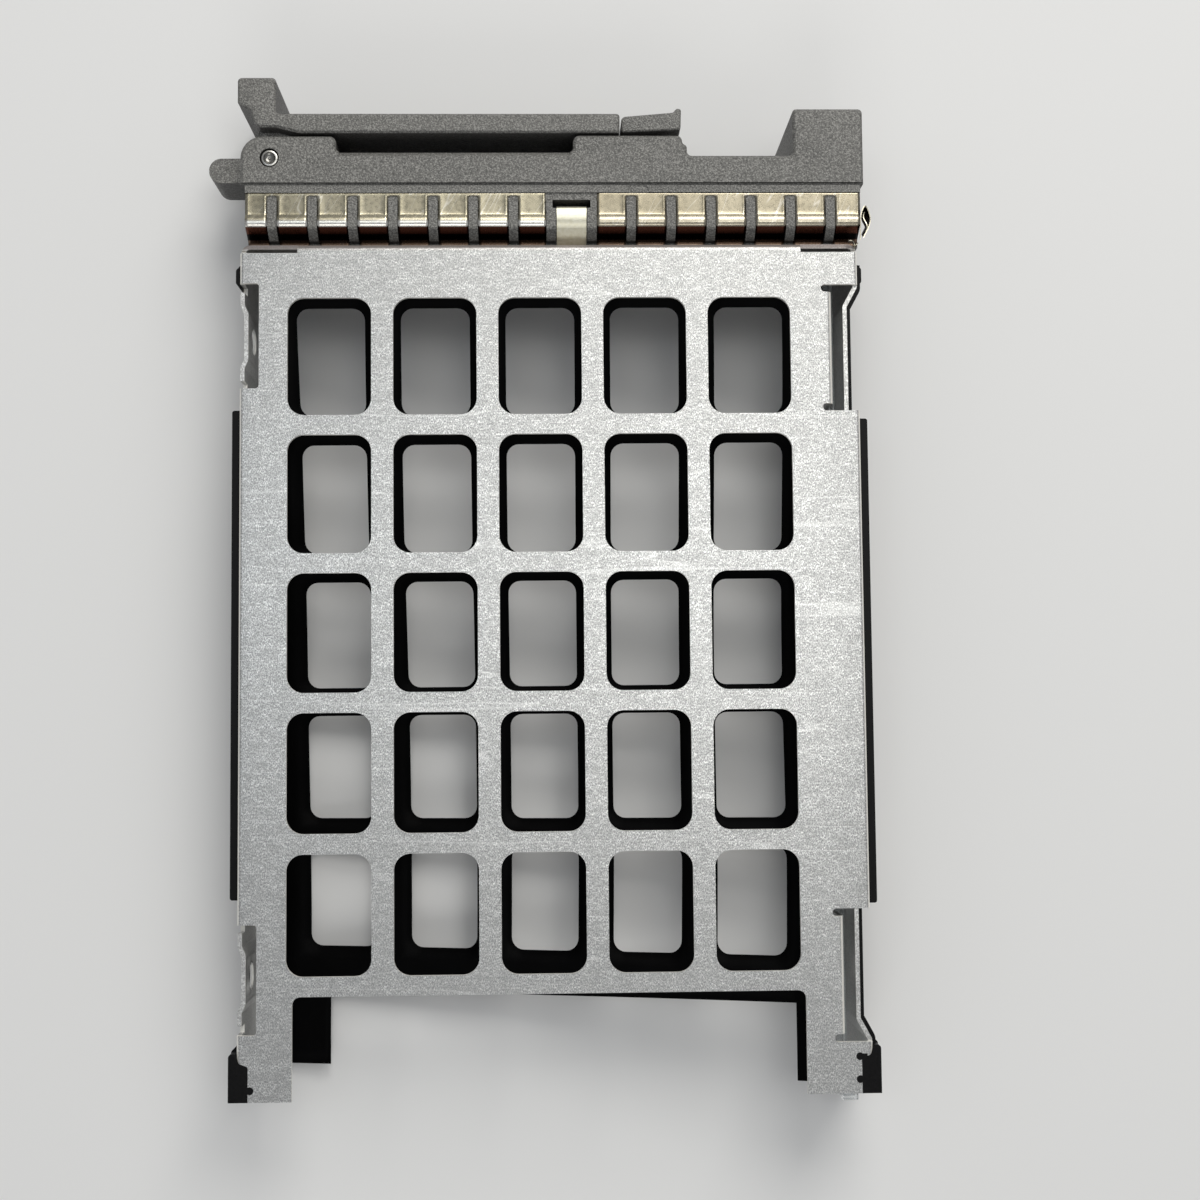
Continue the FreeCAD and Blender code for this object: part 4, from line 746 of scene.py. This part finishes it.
def tornRibbon(name, top, height, lean, dark, path):
    # a thin upright ribbon along a rounded path: its section is a narrow rectangle whose foot leans
    # towards the middle of the path, with painted shade on its sides and a painted highlight along its torn
    # upper edge
    shape = tornFoil
    points = cutCorners(np.array(path) * mm, shape["rounds"])
    ahead = unitRows(np.gradient(points, axis=0))
    beside = np.stack([-ahead[:, 1], ahead[:, 0]], axis=1)
    half, lip = shape["thickness"] / 2, shape["lip"]
    section = np.array([(-half, 0.0, 1), (-half, height - lip, 1), (-half, height, 0), (half, height, 0),
                        (half, height - lip, 1), (half, 0.0, 1)])  # sideways, up, and whether it is dark
    inward = points.mean(axis=0) - points
    foot = (1 - section[:, 1] / height) * lean
    flat = (points[:, None, :] + beside[:, None, :] * section[None, :, :1]
            + inward[:, None, :] * foot[None, :, None])
    wave = top + shape["wave"][0] * np.sin(np.linspace(0.0, shape["wave"][1], len(points)))
    z = wave[:, None] - height + section[None, :, 1]
    vertices = np.concatenate([flat, z[:, :, None]], axis=2).reshape(-1, 3)
    piece = meshPiece(name, vertices, cappedFaces(len(points), len(section)), "gasket", "frame")
    # painted shade on its sides and a painted highlight along its top
    sides = np.tile(section[:, 2], len(points))
    carry(piece, "shade", sides * dark)
    carry(piece, "blackShade", sides * dark * shape["black"])
    carry(piece, "ridgeHighlight", (1 - sides) * shape["paintedHighlight"])


for strip in tornStrips:
    tornRibbon(**strip)
print("torn foil curled")


# pins: shares of the radius or of the chamfer where no unit stands
pinShape = {"chamfer": 0.26 * mm, "roundIn": 0.4, "roundDown": 0.25, "dish": 0.61, "floor": 0.3,
            "wallIn": 0.06 * mm, "wallDown": 0.1 * mm, "depth": 0.3 * mm, "dotFoot": 0.12, "dotTop": 0.05,
            "dotDepth": 0.6, "sides": 64,
            # painted shade on the pin's ends, darkest on the chamfer and in the cup
            "pinShade": (0.0, 0.7, 0.6, 0.6, 0.8, 0.0, 0.9, 1.0)}   # at each ring, from the middle outwards


def turnedPin(node, name, body):
    # a profile turned about the pin's own line: chamfered rims, and a cup with a raised dot in each end
    shape = pinShape
    low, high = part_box(node)
    top, radius, chamfer = high.z, (high.x - low.x) / 2, shape["chamfer"]
    floor = top - shape["depth"]
    upper = np.array([(radius, top - chamfer),
                      (radius - chamfer * shape["roundIn"], top - chamfer * shape["roundDown"]),
                      (radius - chamfer, top), (radius * shape["dish"], top),
                      (radius * shape["dish"] - shape["wallIn"], top - shape["wallDown"]),
                      (radius * shape["floor"], floor), (radius * shape["dotFoot"], floor),
                      (radius * shape["dotTop"], top - shape["depth"] * shape["dotDepth"])])
    profile = np.vstack([upper[::-1], upper * (1, -1) + (0, low.z + high.z)])
    turn = np.linspace(0.0, 2 * math.pi, shape["sides"], endpoint=False)
    ring = np.stack([np.cos(turn), np.sin(turn)], axis=1)
    middle = np.array([(low.x + high.x) / 2, (low.y + high.y) / 2])
    flat = middle + profile[:, None, :1] * ring[None, :, :]
    z = np.broadcast_to(profile[:, None, 1:], (*flat.shape[:2], 1))
    vertices = np.concatenate([flat, z], axis=2).reshape(-1, 3)
    faces = [face[::-1] for face in cappedFaces(len(profile), len(turn))]
    piece = meshPiece(name, vertices, faces, "pin", body, (node,))
    # painted shade at each ring of both ends
    carry(piece, "pinShade", np.repeat(shape["pinShade"] + shape["pinShade"][::-1], len(turn)))


# springs: the axis that each is wound along, its turns and its wire
springShape = {"sides": 12, "stepsPerTurn": 32,
               "lever_spring": {"name": "leverSpringWire", "axis": 2, "turns": 2.4, "wire": 0.4 * mm},
               "button_spring": {"name": "buttonSpringWire", "axis": 1, "turns": 3.8, "wire": 0.3 * mm}}


def coil(node, body):
    # a wire of round section along a helix that fills the spring's own box; its ends lie flat and are capped
    spring = springShape[node]
    axis, turns, wireWidth = spring["axis"], spring["turns"], spring["wire"]
    low, high = [np.array(corner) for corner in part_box(node)]
    middle, size = (low + high) / 2, high - low
    radius = (min(np.delete(size, axis)) - wireWidth) / 2
    turn = np.linspace(0.0, 2 * math.pi * turns, round(turns * springShape["stepsPerTurn"]) + 1)
    others = [other for other in range(3) if other != axis]
    path = np.zeros((len(turn), 3))
    path[:, axis] = middle[axis] + (turn / turn[-1] - 0.5) * (size[axis] - wireWidth)
    path[:, others[0]] = middle[others[0]] + radius * np.cos(turn)
    path[:, others[1]] = middle[others[1]] + radius * np.sin(turn)
    outward = path - middle
    outward[:, axis] = 0.0
    outward = unitRows(outward)
    upward = np.cross(unitRows(np.gradient(path, axis=0)), outward)
    angle = np.linspace(0.0, 2 * math.pi, springShape["sides"], endpoint=False)
    section = (outward[:, None, :] * np.cos(angle)[None, :, None]
               + upward[:, None, :] * np.sin(angle)[None, :, None])
    vertices = (path[:, None, :] + section * wireWidth / 2).reshape(-1, 3)
    meshPiece(spring["name"], vertices, cappedFaces(len(path), len(angle)), "spring", body, (node,))


turnedPin("lever_pin", "leverPinTurned", "frame")
turnedPin("button_pin", "buttonPinTurned", "frame")
coil("lever_spring", "frame")
coil("button_spring", "frame")
print("pins turned and springs wound")


# camera, lamps and floor
view = {"place": (0.392 * mm, 65.309 * mm, 225.217 * mm), "turn": (4.0447, -1.6189, 179.4396), "lens": 52.5,
        "sensor": 36, "nearest": 10 * mm}
eye = bpy.data.objects.new("eye", bpy.data.cameras.new("eye"))
eye.location = view["place"]
eye.rotation_euler = [math.radians(angle) for angle in view["turn"]]
eye.data.lens = view["lens"]
eye.data.sensor_width = view["sensor"]
eye.data.clip_start = view["nearest"]
bpy.context.scene.collection.objects.link(eye)
bpy.context.scene.camera = eye

lamps = [{"name": "softboxFront", "place": (-0.15, -0.42, 0.5), "aim": (0.0, 0.03, 0.0), "size": 0.42,
          "watts": 2.9, "tint": (1.0, 0.98, 0.94)},
         {"name": "softboxRear", "place": (0.02, 0.55, 0.40), "aim": (0.0, 0.04, 0.0), "size": 0.32,
          "watts": 0.6, "tint": (1.0, 0.99, 0.96)},
         {"name": "softboxOver", "place": (-0.04, -0.015, 0.52), "aim": (0.0, 0.04, 0.0), "size": 0.2,
          "watts": 0.23, "tint": (1.0, 1.0, 0.98)},
         {"name": "softboxSide", "place": (0.15, 0.0, 0.50), "aim": (0.03, 0.05, 0.0), "size": 0.12,
          "watts": 0.075, "tint": (0.84, 0.92, 1.0)},
         {"name": "softboxLow", "place": (-0.12, 0.03, 0.50), "aim": (-0.03, 0.05, 0.0), "size": 0.12,
          "watts": 0.09, "tint": (1.0, 1.0, 0.98)}]
for lamp in lamps:
    light = bpy.data.lights.new(lamp["name"], "AREA")
    light.shape = "SQUARE"
    light.size = lamp["size"]
    light.energy = lamp["watts"]
    light.color = lamp["tint"]
    source = bpy.data.objects.new(lamp["name"], light)
    source.location = lamp["place"]
    ahead = np.array(lamp["aim"]) - np.array(lamp["place"])
    tilt = math.pi / 2 - math.atan2(-ahead[2], math.hypot(ahead[0], ahead[1]))
    source.rotation_euler = (tilt, 0.0, math.atan2(ahead[1], ahead[0]) - math.pi / 2)
    bpy.context.scene.collection.objects.link(source)

studio = {"air": (0.93, 0.95, 1.0), "airStrength": 0.3, "floor": (0.80, 0.80, 0.79), "floorSize": 3.0,
          "floorGap": 0.02 * mm, "floorFinish": {"Roughness": 0.9, "Specular IOR Level": 0.2}}
world = bpy.data.worlds.new("studioAir")
world.use_nodes = True
air = world.node_tree.nodes["Background"]
air.inputs["Color"].default_value = (*studio["air"], 1.0)
air.inputs["Strength"].default_value = studio["airStrength"]
bpy.context.scene.world = world

reach = studio["floorSize"] / 2
ground = cadBounds[0].z - studio["floorGap"]
floorMesh = bpy.data.meshes.new("floor")
floorMesh.from_pydata([(-reach, -reach, ground), (reach, -reach, ground), (reach, reach, ground),
                       (-reach, reach, ground)], [], [(0, 1, 2, 3)])
floor = bpy.data.objects.new("floor", floorMesh)
bpy.context.scene.collection.objects.link(floor)
floorLook, _, floorShader = newMaterial("paleFloor", studio["floorFinish"])
floorShader.inputs["Base Color"].default_value = (*studio["floor"], 1.0)
floorMesh.materials.append(floorLook)
bpy.context.scene.view_settings.view_transform = "Standard"
print("camera and light set")
